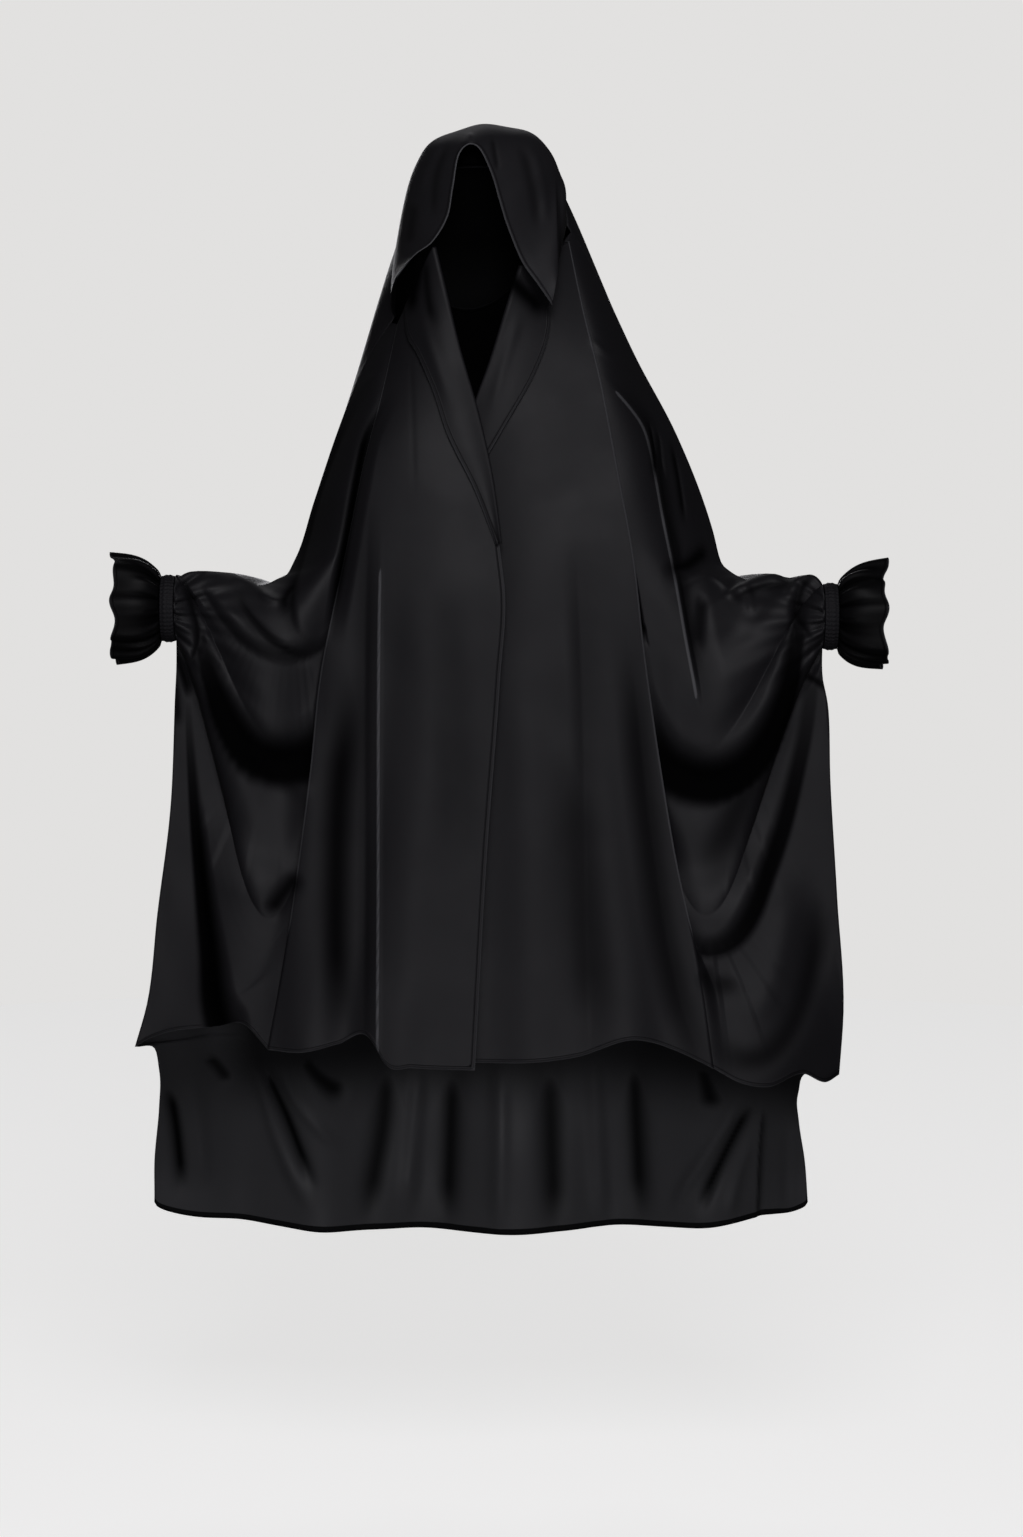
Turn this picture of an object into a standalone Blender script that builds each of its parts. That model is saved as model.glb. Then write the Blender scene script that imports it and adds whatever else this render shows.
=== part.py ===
"""Jilbab top: a hooded over-garment with an open front, bat-wing sleeves and ruffled cuffs.

Metres, +Z up. The wearer faces -Y, so the wearer's left is +X. The origin is the crown
seat, where the top of the head meets the inside of the hood. Every sheet of cloth is a
surface of two parameters, lofted from short tables of shares of the sizes below.
"""
import math

import bpy
import numpy as np

# Driving sizes
FRONT_LENGTH = 1.17
BACK_LENGTH = 1.49
WING_LEFT = 0.457
WING_RIGHT = 0.425
HEAD_WIDTH = 0.228
FRONT_STAND = 0.20
BACK_STAND = 0.20
LAPEL_LIFT = 0.007
PANEL_RETURN = 0.012
PANEL_TUCK = 0.009
WRIST_HEIGHT = 0.078
WRIST_DEPTH = 0.062
ELASTIC_WIDTH = 0.017
RUFFLE_LENGTH = 0.062
RUFFLE_FLARE = 1.62
BAND_WIDTH = 0.132
BAND_DEPTH = 0.094
BAND_FOOT = 0.064
BAND_DROOP = 0.006
BAND_TURN = math.radians(80)
THROAT_DIP = 0.045
THROAT_HOLLOW = 0.022
CLOTH = 0.0012
GAP = 0.0003
EDGE_APART = CLOTH + 2 * GAP
SHEETS_APART = CLOTH + 4 * GAP
CROWN_SEAT = 3 * GAP

# Side edge of each half, from the hood's kink over shoulder and arm to the wrist, then
# down to the front corner: place, across (wing), forward (front stand), down (front length)
EDGE_LEFT = (
    (0.00, 0.239, 0.10, 0.109),
    (0.09, 0.333, 0.07, 0.172),
    (0.19, 0.438, 0.05, 0.256),
    (0.28, 0.547, 0.07, 0.336),
    (0.38, 0.646, 0.14, 0.438),
    (0.41, 0.668, 0.28, 0.474),
    (0.46, 0.735, 0.40, 0.487),
    (0.52, 0.829, 0.47, 0.486),
    (0.60, 0.934, 0.60, 0.491),
    (0.66, 0.934, 0.60, 0.564),
    (0.70, 0.934, 0.61, 0.590),
    (0.74, 0.950, 0.62, 0.622),
    (0.81, 0.958, 0.64, 0.703),
    (0.91, 0.980, 0.65, 0.832),
    (0.97, 1.000, 0.65, 0.954),
    (1.00, 0.990, 0.65, 1.020),
)
EDGE_RIGHT = (
    (0.00, 0.254, 0.05, 0.208),
    (0.09, 0.339, 0.05, 0.256),
    (0.19, 0.421, 0.05, 0.327),
    (0.28, 0.494, 0.09, 0.405),
    (0.38, 0.553, 0.15, 0.470),
    (0.41, 0.576, 0.32, 0.487),
    (0.46, 0.655, 0.45, 0.493),
    (0.52, 0.754, 0.50, 0.486),
    (0.60, 0.887, 0.60, 0.486),
    (0.66, 0.887, 0.60, 0.552),
    (0.70, 0.887, 0.61, 0.580),
    (0.74, 0.892, 0.62, 0.615),
    (0.81, 0.905, 0.64, 0.720),
    (0.91, 0.950, 0.65, 0.848),
    (0.97, 0.984, 0.65, 0.945),
    (1.00, 1.020, 0.65, 0.990),
)
# Fold where the front panel ends and the wing begins: down, across, forward
FOLD_LEFT = (
    (0.129, 0.245, 0.22),
    (0.203, 0.284, 0.37),
    (0.272, 0.326, 0.52),
    (0.373, 0.374, 0.70),
    (0.460, 0.414, 0.82),
    (0.554, 0.442, 0.87),
    (0.680, 0.488, 0.92),
    (0.782, 0.532, 0.95),
    (0.885, 0.589, 0.97),
    (1.003, 0.635, 0.99),
)
FOLD_RIGHT = (
    (0.215, 0.240, 0.28),
    (0.295, 0.287, 0.50),
    (0.362, 0.334, 0.68),
    (0.437, 0.376, 0.77),
    (0.521, 0.424, 0.82),
    (0.587, 0.459, 0.85),
    (0.689, 0.489, 0.90),
    (0.774, 0.520, 0.92),
    (0.868, 0.558, 0.95),
    (0.983, 0.616, 0.97),
)
# Front edge of each panel, the roll of the lapel and then the opening: down, across, forward.
# Across is positive towards the panel's own side.
OPENING_LEFT = (
    (0.157, 0.118, 0.50),
    (0.197, 0.085, 0.55),
    (0.259, 0.035, 0.58),
    (0.309, -0.011, 0.60),
    (0.368, -0.045, 0.63),
    (0.479, -0.050, 0.76),
    (0.684, -0.060, 0.90),
    (0.996, -0.100, 0.95),
)
OPENING_RIGHT = (
    (0.138, 0.136, 0.50),
    (0.185, 0.104, 0.55),
    (0.244, 0.064, 0.61),
    (0.309, 0.012, 0.69),
    (0.367, -0.026, 0.77),
    (0.463, -0.064, 0.90),
    (0.497, -0.075, 0.95),
    (0.591, -0.061, 1.01),
    (0.769, -0.024, 1.05),
    (1.001, 0.012, 1.09),
)
# Outer hem of each lapel on its own panel: place down the panel, reach across the panel
LAPEL_LEFT = (
    (0.000, 0.50),
    (0.045, 0.56),
    (0.090, 0.59),
    (0.145, 0.455),
    (0.204, 0.27),
    (0.250, 0.14),
    (0.290, 0.03),
)
LAPEL_RIGHT = (
    (0.000, 0.80),
    (0.052, 0.67),
    (0.090, 0.50),
    (0.140, 0.355),
    (0.212, 0.257),
    (0.287, 0.12),
    (0.360, 0.02),
)
# Bottom hem of each panel and wing: place across, drop below the straight hem (front length)
HEM_PANEL_LEFT = ((0.0, 0.0), (0.30, -0.003), (0.50, -0.011), (0.71, -0.031), (0.85, -0.020), (1.0, 0.0))
HEM_PANEL_RIGHT = (
    (0.00, 0.000),
    (0.30, 0.002),
    (0.43, 0.000),
    (0.50, -0.024),
    (0.66, -0.014),
    (0.85, -0.002),
    (1.00, 0.000),
)
HEM_WING_LEFT = ((0.0, 0.0), (0.20, 0.012), (0.42, 0.014), (0.70, -0.001), (0.88, -0.010), (1.0, 0.0))
HEM_WING_RIGHT = ((0.0, 0.0), (0.16, -0.026), (0.40, -0.020), (0.80, -0.013), (0.93, -0.006), (1.0, 0.0))
# Long folds of the panels: place across, half width (place), rise (front stand), start down
FOLDS_PANEL_LEFT = ((0.34, 0.12, 0.03, 0.30), (0.66, 0.12, 0.04, 0.45), (0.82, 0.08, -0.02, 0.35))
FOLDS_PANEL_RIGHT = ((0.38, 0.12, 0.03, 0.35), (0.62, 0.09, -0.03, 0.35), (0.80, 0.10, 0.03, 0.45))
# Where the swags of a wing end on the side edge: place down the wing, place on the edge
SWAG_ENDS = (
    (0.00, 0.012),
    (0.10, 0.12),
    (0.20, 0.27),
    (0.28, 0.38),
    (0.35, 0.46),
    (0.43, 0.56),
    (0.51, 0.60),
    (0.60, 0.63),
    (0.70, 0.66),
    (0.82, 0.76),
    (0.92, 0.90),
    (1.00, 1.00),
)
# Swags of each wing: place down the wing, start on the fold (down), sag (front length),
# lean (0.5 is even), swell (front stand, + forward)
SWAGS_LEFT = (
    (0.00, 0.133, 0.000, 0.50, 0.00),
    (0.10, 0.230, 0.000, 0.50, 0.02),
    (0.20, 0.330, 0.000, 0.50, 0.03),
    (0.28, 0.410, 0.004, 0.50, 0.03),
    (0.35, 0.465, 0.030, 0.45, 0.08),
    (0.43, 0.520, 0.095, 0.42, 0.13),
    (0.51, 0.580, 0.120, 0.38, 0.09),
    (0.60, 0.660, 0.150, 0.36, 0.09),
    (0.70, 0.745, 0.155, 0.36, 0.10),
    (0.82, 0.848, 0.110, 0.38, 0.10),
    (0.92, 0.935, 0.050, 0.42, 0.08),
    (1.00, 1.003, 0.000, 0.50, 0.06),
)
SWAGS_RIGHT = (
    (0.00, 0.219, 0.000, 0.50, 0.00),
    (0.10, 0.300, 0.000, 0.50, 0.02),
    (0.20, 0.370, 0.000, 0.50, 0.03),
    (0.28, 0.425, 0.004, 0.50, 0.03),
    (0.35, 0.465, 0.020, 0.45, 0.12),
    (0.43, 0.520, 0.075, 0.40, 0.21),
    (0.51, 0.590, 0.105, 0.38, 0.16),
    (0.60, 0.680, 0.145, 0.36, 0.10),
    (0.70, 0.765, 0.155, 0.40, 0.10),
    (0.82, 0.860, 0.120, 0.47, 0.10),
    (0.92, 0.930, 0.050, 0.50, 0.08),
    (1.00, 0.983, 0.000, 0.50, 0.06),
)
# Falls of each wing: beyond its rim the cloth drops back into the dark of a swag. Rim across
# (wing), rim down (front length), width of the drop (front length), depth (front stand)
FALLS_LEFT = (
    (
        (0.459, 0.560, 0.045, 0.30),
        (0.481, 0.602, 0.050, 0.34),
        (0.518, 0.631, 0.054, 0.36),
        (0.571, 0.650, 0.060, 0.36),
        (0.630, 0.656, 0.062, 0.36),
        (0.688, 0.648, 0.052, 0.33),
        (0.741, 0.627, 0.039, 0.28),
        (0.788, 0.589, 0.029, 0.22),
        (0.819, 0.552, 0.021, 0.16),
        (0.845, 0.523, 0.015, 0.09),
        (0.870, 0.496, 0.010, 0.00),
    ),
    (
        (0.560, 0.846, 0.028, 0.00),
        (0.628, 0.856, 0.030, 0.10),
        (0.681, 0.840, 0.030, 0.15),
        (0.734, 0.798, 0.027, 0.17),
        (0.786, 0.748, 0.024, 0.18),
        (0.827, 0.693, 0.021, 0.16),
        (0.858, 0.639, 0.019, 0.12),
        (0.878, 0.589, 0.016, 0.06),
        (0.888, 0.556, 0.012, 0.00),
    ),
)
FALLS_RIGHT = (
    (
        (0.459, 0.543, 0.017, 0.05),
        (0.527, 0.547, 0.025, 0.09),
        (0.584, 0.546, 0.025, 0.09),
        (0.652, 0.538, 0.021, 0.08),
        (0.720, 0.521, 0.014, 0.05),
        (0.771, 0.503, 0.009, 0.03),
        (0.804, 0.490, 0.006, 0.00),
    ),
    (
        (0.477, 0.618, 0.045, 0.24),
        (0.529, 0.631, 0.062, 0.32),
        (0.597, 0.633, 0.062, 0.32),
        (0.660, 0.618, 0.045, 0.27),
        (0.722, 0.589, 0.029, 0.20),
        (0.766, 0.560, 0.019, 0.14),
        (0.798, 0.536, 0.012, 0.07),
        (0.822, 0.511, 0.008, 0.00),
    ),
    (
        (0.651, 0.988, 0.045, 0.30),
        (0.696, 0.937, 0.041, 0.30),
        (0.729, 0.882, 0.032, 0.28),
        (0.765, 0.819, 0.024, 0.25),
        (0.797, 0.756, 0.017, 0.20),
        (0.820, 0.693, 0.012, 0.15),
        (0.837, 0.639, 0.008, 0.08),
        (0.845, 0.602, 0.005, 0.00),
    ),
)
# Hood: front hem and widest outline from the right foot over the crown to the left foot:
# place, across (head width), forward (front stand), down (head width)
HOOD_HEM = (
    (0.00, -0.447, 0.56, 0.868),
    (0.08, -0.346, 0.60, 0.754),
    (0.15, -0.250, 0.60, 0.684),
    (0.22, -0.172, 0.59, 0.560),
    (0.30, -0.140, 0.58, 0.400),
    (0.40, -0.105, 0.56, 0.215),
    (0.48, -0.048, 0.55, 0.162),
    (0.54, 0.000, 0.55, 0.185),
    (0.62, 0.066, 0.57, 0.320),
    (0.70, 0.105, 0.58, 0.450),
    (0.79, 0.155, 0.60, 0.610),
    (0.87, 0.237, 0.62, 0.803),
    (0.93, 0.310, 0.63, 0.905),
    (1.00, 0.395, 0.62, 1.026),
)
HOOD_OUTLINE = (
    (0.00, -0.487, 0.32, 0.985),
    (0.10, -0.462, 0.28, 0.800),
    (0.20, -0.400, 0.25, 0.490),
    (0.29, -0.342, 0.25, 0.270),
    (0.36, -0.275, 0.25, 0.150),
    (0.43, -0.150, 0.25, 0.085),
    (0.50, 0.013, 0.25, 0.040),
    (0.57, 0.190, 0.25, 0.070),
    (0.64, 0.300, 0.25, 0.118),
    (0.71, 0.378, 0.25, 0.220),
    (0.80, 0.425, 0.26, 0.370),
    (0.88, 0.450, 0.32, 0.480),
    (0.94, 0.446, 0.42, 0.630),
    (1.00, 0.434, 0.52, 0.810),
)
# Spine of the back: side-edge place, behind (back stand), down (back length), roundness
SPINE = (
    (0.00, 0.05, 0.003, 1.00),
    (0.05, 0.44, 0.030, 0.95),
    (0.10, 0.56, 0.075, 0.85),
    (0.17, 0.50, 0.140, 0.65),
    (0.26, 0.60, 0.210, 0.40),
    (0.38, 0.76, 0.310, 0.25),
    (0.60, 0.84, 0.440, 0.20),
    (0.75, 0.86, 0.560, 0.20),
    (0.90, 0.92, 0.700, 0.20),
    (1.00, 1.00, 0.800, 0.20),
    (1.12, 1.10, 0.900, 0.20),
    (1.25, 1.22, 1.000, 0.20),
)
# Free side edge of the back below the front corner: place, across on the left and on the
# right (own wing), behind (back stand), down (back length)
TAIL = (
    (1.00, 0.990, 1.010, -0.65, 0.796),
    (1.06, 0.930, 1.000, -0.10, 0.838),
    (1.12, 0.935, 1.015, 0.45, 0.876),
    (1.18, 0.965, 1.045, 0.82, 0.920),
    (1.25, 0.978, 1.060, 1.02, 0.965),
)
# Long folds of the back: across (wing), half width (wing), rise (back stand), start down
FOLDS_BACK = (
    (-0.80, 0.10, 0.14, 0.55),
    (-0.52, 0.10, -0.12, 0.45),
    (-0.20, 0.12, 0.12, 0.35),
    (0.10, 0.12, -0.10, 0.35),
    (0.40, 0.12, 0.14, 0.40),
    (0.68, 0.09, -0.12, 0.50),
    (0.86, 0.07, 0.10, 0.60),
)
# Sag of the rear of the wings: side-edge place, sag (front length)
BACK_SAG = ((0.00, 0.0), (0.38, 0.0), (0.60, 0.070), (0.75, 0.090), (0.90, 0.040), (1.00, 0.0), (1.25, 0.0))

PANEL_BULGE = 0.05
BULGE_TOP = 0.3
WRIST_TOP = 0.60
WRIST_FOOT = 0.66
WRIST_LEAD = 0.08
WRIST_LEAVE = 0.05
LAPEL_ROLL = 0.3
LAPEL_FULLNESS = 0.6
LAPEL_THINS = 0.5
SHOULDER_POWER = 2.0
SLEEVE_POWER = 1.3
SHOULDER_FOOT = 0.28
SLEEVE_TOP = 0.45
SWAG_POWER = 1.6
FALL_RECOVERY = 0.13
FALL_SEAM = 0.12
FALL_LIMIT = 3
HEM_SHARE = 0.75
HEM_SHARE_WING = 0.86
BACK_ROUND = 0.8
SAG_START = 0.25
TAIL_ROUND = 0.5
FOLD_FADE = 0.3
CORNER = 1.00
TAIL_END = 1.25
THROAT_EVEN = 0.6
ELASTIC_SWELL = 0.05
RUFFLE_POWER = 0.7
RUFFLE_WAVE = 0.13
RUFFLE_TURN = 0.6
RUFFLE_LONGER = 0.07
RUFFLE_SET = 0.8
RUFFLE_WAVES = 7
HOOD_COLUMNS = 33
HOOD_ROWS = 9
BAND_REACH = 0.5
BAND_SEAM = 0.25
BAND_ROWS = 3
PANEL_COLUMNS = 12
PANEL_ROWS = 18
RETURN_COLUMNS = (1.5, 2.0)
WING_COLUMNS = 15
WING_ROWS = 23
BACK_COLUMNS = 29
TAIL_ROWS = 5
ROLL_COLUMNS = 4
LAPEL_COLUMNS = 5
THROAT_COLUMNS = 9
THROAT_GRID_ROWS = 5
ELASTIC_COLUMNS = 20
ELASTIC_ROWS = 3
RUFFLE_COLUMNS = 35
RUFFLE_ROWS = 4
THROAT_SEAT_LEFT = 3 / (PANEL_COLUMNS - 1)
THROAT_SEAT_RIGHT = 5 / (PANEL_COLUMNS - 1)
THROAT_ROWS = 4 / PANEL_ROWS
BLACK_SATIN = (0.012, 0.012, 0.014, 1.0)
SATIN_ROUGHNESS = 0.42


def follow(table, place):
    """Smooth curve through a table: cubic pieces whose slopes are the rows' central differences."""
    rows = np.array(table, float)
    knots, values = rows[:, 0], rows[:, 1:]
    slopes = np.gradient(values, knots, axis=0)
    place = np.clip(np.asarray(place, float), knots[0], knots[-1])
    low = np.clip(np.searchsorted(knots, place, side="right") - 1, 0, len(knots) - 2)
    span = knots[low + 1] - knots[low]
    t = ((place - knots[low]) / span)[..., None]
    span = span[..., None]
    start, end = values[low], values[low + 1]
    return (start * (1 + 2 * t) * (1 - t) ** 2 + end * t ** 2 * (3 - 2 * t)
            + slopes[low] * span * t * (1 - t) ** 2 - slopes[low + 1] * span * t ** 2 * (1 - t))


def smooth_step(value, start, end):
    """Rise from 0 to 1 between start and end, level at both."""
    t = np.clip((value - start) / (end - start), 0.0, 1.0)
    return t * t * (3 - 2 * t)


def blend(first, second, share):
    """Straight mix of two arrays of points."""
    return first + (second - first) * share[..., None]


def points(x, y, z):
    """Stack three arrays of coordinates."""
    return np.stack(np.broadcast_arrays(x, y, z), axis=-1)


class Side:
    """One half of the garment: its tables, its width and its direction across."""

    def __init__(self, name, sign, width, edge, fold, opening, lapel, hem_panel, hem_wing, folds,
                 swags, falls):
        self.name = name
        self.sign = sign
        self.width = width
        self.edge_rows = edge
        self.fold_rows = fold
        self.opening_rows = opening
        self.lapel_rows = lapel
        self.hem_panel = hem_panel
        self.hem_wing = hem_wing
        self.folds = folds
        self.swags = swags
        self.falls = falls
        top = follow(edge, WRIST_TOP)
        foot = follow(edge, WRIST_FOOT)
        self.wrist = np.array((sign * top[0] * width, -top[1] * FRONT_STAND,
                               -(top[2] + foot[2]) / 2 * FRONT_LENGTH))

    def place(self, across, forward, down):
        """Point from shares of the wing, the front stand and the front length."""
        return points(self.sign * across * self.width, -forward * FRONT_STAND, -down * FRONT_LENGTH)

    def half_ring(self, turn, facing):
        """Front (-1) or rear (+1) half of the wrist's oval: turn 0 is the top, 1 the bottom."""
        angle = math.pi * turn
        return points(self.wrist[0], self.wrist[1] + facing * WRIST_DEPTH / 2 * np.sin(angle),
                      self.wrist[2] + WRIST_HEIGHT / 2 * np.cos(angle))

    def side_edge(self, place, facing):
        """Side edge at a place, with the wrist's half ring let in between its top and foot."""
        values = follow(self.edge_rows, place)
        line = self.place(values[..., 0], values[..., 1], values[..., 2])
        turn = np.clip((place - WRIST_TOP) / (WRIST_FOOT - WRIST_TOP), 0.0, 1.0)
        ring = self.half_ring(turn, facing)
        near = smooth_step(place, WRIST_TOP - WRIST_LEAD, WRIST_TOP)
        near = near * (1 - smooth_step(place, WRIST_FOOT, WRIST_FOOT + WRIST_LEAVE))
        edge = line + (ring - line) * near[..., None]
        edge[..., 1] += facing * EDGE_APART / 2
        return edge

    def tail(self, place):
        """Free side edge of the back, below the front corner."""
        values = follow(TAIL, place)
        across = self.sign * self.width * (values[..., 0] if self.sign > 0 else values[..., 1])
        return points(across, values[..., 2] * BACK_STAND, -values[..., 3] * BACK_LENGTH)

    def fold(self, down):
        """Fold between front panel and wing."""
        values = follow(self.fold_rows, down)
        return self.place(values[..., 0], values[..., 1], down)

    def opening(self, down):
        """Front edge of the panel."""
        values = follow(self.opening_rows, down)
        return self.place(values[..., 0], values[..., 1], down)


LEFT = Side("left", 1, WING_LEFT, EDGE_LEFT, FOLD_LEFT, OPENING_LEFT, LAPEL_LEFT,
            HEM_PANEL_LEFT, HEM_WING_LEFT, FOLDS_PANEL_LEFT, SWAGS_LEFT, FALLS_LEFT)
RIGHT = Side("right", -1, WING_RIGHT, EDGE_RIGHT, FOLD_RIGHT, OPENING_RIGHT, LAPEL_RIGHT,
             HEM_PANEL_RIGHT, HEM_WING_RIGHT, FOLDS_PANEL_RIGHT, SWAGS_RIGHT, FALLS_RIGHT)


def front_panel(side, u, v):
    """Front panel: u runs from the opening to the fold and past 1 into the return behind it,
    v runs from the top down to the hem."""
    top_inner, end_inner = side.opening_rows[0][0], side.opening_rows[-1][0]
    top_outer, end_outer = side.fold_rows[0][0], side.fold_rows[-1][0]
    inner = side.opening(top_inner + (end_inner - top_inner) * v)
    outer = side.fold(top_outer + (end_outer - top_outer) * v)
    across = np.clip(u, 0.0, 1.0)
    sheet = blend(inner, outer, across)
    down = -sheet[..., 2] / FRONT_LENGTH
    bulge = PANEL_BULGE * np.sin(math.pi * across) * smooth_step(v, 0.0, BULGE_TOP)
    for centre, half, rise, start in side.folds:
        shape = np.exp(-((across - centre) / half) ** 2)
        bulge = bulge + rise * shape * smooth_step(down, start, 1.0)
    sheet[..., 1] -= bulge * FRONT_STAND
    drop = follow(side.hem_panel, across)[..., 0]
    sheet[..., 2] -= drop * FRONT_LENGTH * smooth_step(v, HEM_SHARE, 1.0)
    back = np.clip(u - 1.0, 0.0, 1.0)
    sheet[..., 0] -= side.sign * PANEL_RETURN * back
    sheet[..., 1] += PANEL_TUCK * np.sin(back * math.pi / 2)
    return sheet


def from_rim(rim, x, z):
    """Signed distance of each place from a smooth rim in the front view, positive on the right
    of the way along it, with the width and depth that the rim has at its nearest point."""
    rows = np.array(rim)
    places = np.linspace(0, 1, len(rows))
    line = follow(np.column_stack((places, rows)), np.linspace(0, 1, 4 * len(rows)))
    best = np.full(x.shape, np.inf)
    signed, width, depth = np.zeros(x.shape), np.zeros(x.shape), np.zeros(x.shape)
    for first, second in zip(line[:-1], line[1:]):
        way = second[:2] - first[:2]
        dx, dz = x - first[0], z - first[1]
        t = np.clip((dx * way[0] + dz * way[1]) / np.dot(way, way), 0.0, 1.0)
        away = np.hypot(dx - way[0] * t, dz - way[1] * t)
        near = away < best
        best = np.where(near, away, best)
        signed = np.where(near, np.sign(way[0] * dz - way[1] * dx) * away, signed)
        width = np.where(near, first[2] + (second[2] - first[2]) * t, width)
        depth = np.where(near, first[3] + (second[3] - first[3]) * t, depth)
    return signed, width, depth


def fallen(side, sheet):
    """How far back the falls set each point: from the rim down to the depth over the width,
    then slowly forward again."""
    x, z = side.sign * sheet[..., 0], -sheet[..., 2]
    scale = (side.width, FRONT_LENGTH, FRONT_LENGTH, FRONT_STAND)
    back = np.zeros(x.shape)
    for rim in side.falls:
        signed, width, depth = from_rim(np.array(rim) * scale, x, z)
        drop = smooth_step(signed / width, 0.0, 1.0)
        recovered = smooth_step((signed - width) / (FALL_RECOVERY * FRONT_LENGTH), 0.0, 1.0)
        back = back + depth * drop * (1 - recovered)
    return back


def wing(side, u, v):
    """Front of the wing: u runs along each swag from the fold to the side edge, v from the tent
    down to the hem. Each swag sags below its chord and swells before it, and the falls between
    the swags are set back."""
    rows = follow(side.swags, v)
    start = front_panel(side, np.full_like(u, 2.0), (rows[..., 0] - side.fold_rows[0][0])
                        / (side.fold_rows[-1][0] - side.fold_rows[0][0]))
    start[..., 1] += SHEETS_APART
    end = side.side_edge(follow(SWAG_ENDS, v)[..., 0], -1)
    sheet = blend(start, end, u)
    power = SHOULDER_POWER + (SLEEVE_POWER - SHOULDER_POWER) * smooth_step(v, SHOULDER_FOOT, SLEEVE_TOP)
    sheet[..., 1] = start[..., 1] + (end[..., 1] - start[..., 1]) * u ** power
    turned = u ** (math.log(0.5) / np.log(rows[..., 2]))
    hang = np.sin(math.pi * turned) ** SWAG_POWER
    sheet[..., 2] -= rows[..., 1] * FRONT_LENGTH * hang
    sheet[..., 1] -= rows[..., 3] * FRONT_STAND * np.sin(math.pi * u) ** 2
    room = np.maximum(end[..., 1] - sheet[..., 1], GAP)
    back = np.maximum(fallen(side, sheet) * smooth_step(u, 0.0, FALL_SEAM), GAP / 10)
    sheet[..., 1] += (back ** -FALL_LIMIT + room ** -FALL_LIMIT) ** (-1 / FALL_LIMIT)
    drop = follow(side.hem_wing, u)[..., 0]
    sheet[..., 2] -= drop * FRONT_LENGTH * smooth_step(v, HEM_SHARE_WING, 1.0)
    return sheet


def lapel(side, u, v):
    """Turned-back front edge: u 0 to LAPEL_ROLL rolls round the panel's own edge, then the
    sheet runs out before the panel to its hem. v is the place down the panel."""
    across = np.clip((u - LAPEL_ROLL) / (1 - LAPEL_ROLL), 0.0, 1.0)
    reach = follow(side.lapel_rows, v)[..., 0]
    sheet = front_panel(side, across * reach, v)
    lift = LAPEL_LIFT * (1 - LAPEL_THINS * v / side.lapel_rows[-1][0])
    sheet[..., 1] -= lift * (1 + LAPEL_FULLNESS * np.sin(math.pi * across))
    turn = np.clip(u / LAPEL_ROLL, 0.0, 1.0)
    rolled = front_panel(side, np.zeros_like(u), v)
    rolled[..., 0] -= side.sign * (GAP + CLOTH / 2 + lift / 2 * np.sin(math.pi * turn))
    rolled[..., 1] -= lift / 2 * (1 - np.cos(math.pi * turn))
    return np.where((u < LAPEL_ROLL)[..., None], rolled, sheet)


def back_panel(u, place):
    """Back: u runs from the right side edge to the left one; place runs down the side edges
    from the hood's kinks to the corners, and on to the hem."""
    half = np.abs(u)
    ends = []
    for side in (LEFT, RIGHT):
        edge = side.side_edge(np.minimum(place, CORNER), 1)
        free = side.tail(place)
        shift = side.side_edge(np.full_like(place, CORNER), 1) - side.tail(np.full_like(place, CORNER))
        fade = (1 - smooth_step(place, CORNER, TAIL_END))[..., None]
        ends.append(np.where((place > CORNER)[..., None], free + shift * fade, edge))
    end = np.where((u > 0)[..., None], ends[0], ends[1])
    spine = follow(SPINE, place)
    round_share = spine[..., 2]
    swing = np.sin(half * math.pi / 2)
    rise = np.cos(half * math.pi / 2)
    x = end[..., 0] * ((1 - round_share) * half + round_share * swing)
    y = end[..., 1] + (spine[..., 0] * BACK_STAND - end[..., 1]) * rise ** BACK_ROUND
    level = rise ** (1 - (1 - TAIL_ROUND) * smooth_step(place, CORNER, TAIL_END))
    z = end[..., 2] + (-spine[..., 1] * BACK_LENGTH - end[..., 2]) * level
    sag = follow(BACK_SAG, place)[..., 0] * FRONT_LENGTH
    z = z - sag * np.sin(math.pi * smooth_step(half, SAG_START, 1.0))
    down = -z / BACK_LENGTH
    width = np.where(u > 0, WING_LEFT, WING_RIGHT)
    for centre, reach, lift, start in FOLDS_BACK:
        shape = np.exp(-((x / width - centre) / reach) ** 2) * rise ** FOLD_FADE
        y = y + lift * BACK_STAND * shape * smooth_step(down, start, 1.0)
    return points(x, y, z)


def hood(u, v):
    """Hood: u runs over the head from the right foot to the left foot, v from the front hem
    through the widest outline to the seam behind the crown."""
    place = (u + 1) / 2
    hem = follow(HOOD_HEM, place)
    outline = follow(HOOD_OUTLINE, place)
    scale = np.array((HEAD_WIDTH, -FRONT_STAND, -HEAD_WIDTH))
    first, middle = hem * scale, outline * scale
    last = back_panel(u, np.zeros_like(u))
    last[..., 1] -= CROWN_SEAT
    share = v[..., None]
    bend = 4 * share * (1 - share)
    chord = first + (last - first) * share
    return chord + (middle - (first + last) / 2) * bend


def inward(surface, u, v, distance):
    """Points of a surface moved along its normal, towards the wearer."""
    step = 1e-4
    here = surface(u, v)
    along_u = surface(u + step, v) - surface(u - step, v)
    along_v = surface(u, v + step) - surface(u, v - step)
    normal = np.cross(along_u, along_v)
    normal /= np.linalg.norm(normal, axis=-1, keepdims=True)
    centre = np.array((0.0, 0.0, -HEAD_WIDTH))
    turn = np.sign(np.sum(normal * (centre - here), axis=-1, keepdims=True))
    return here + normal * turn * distance


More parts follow.
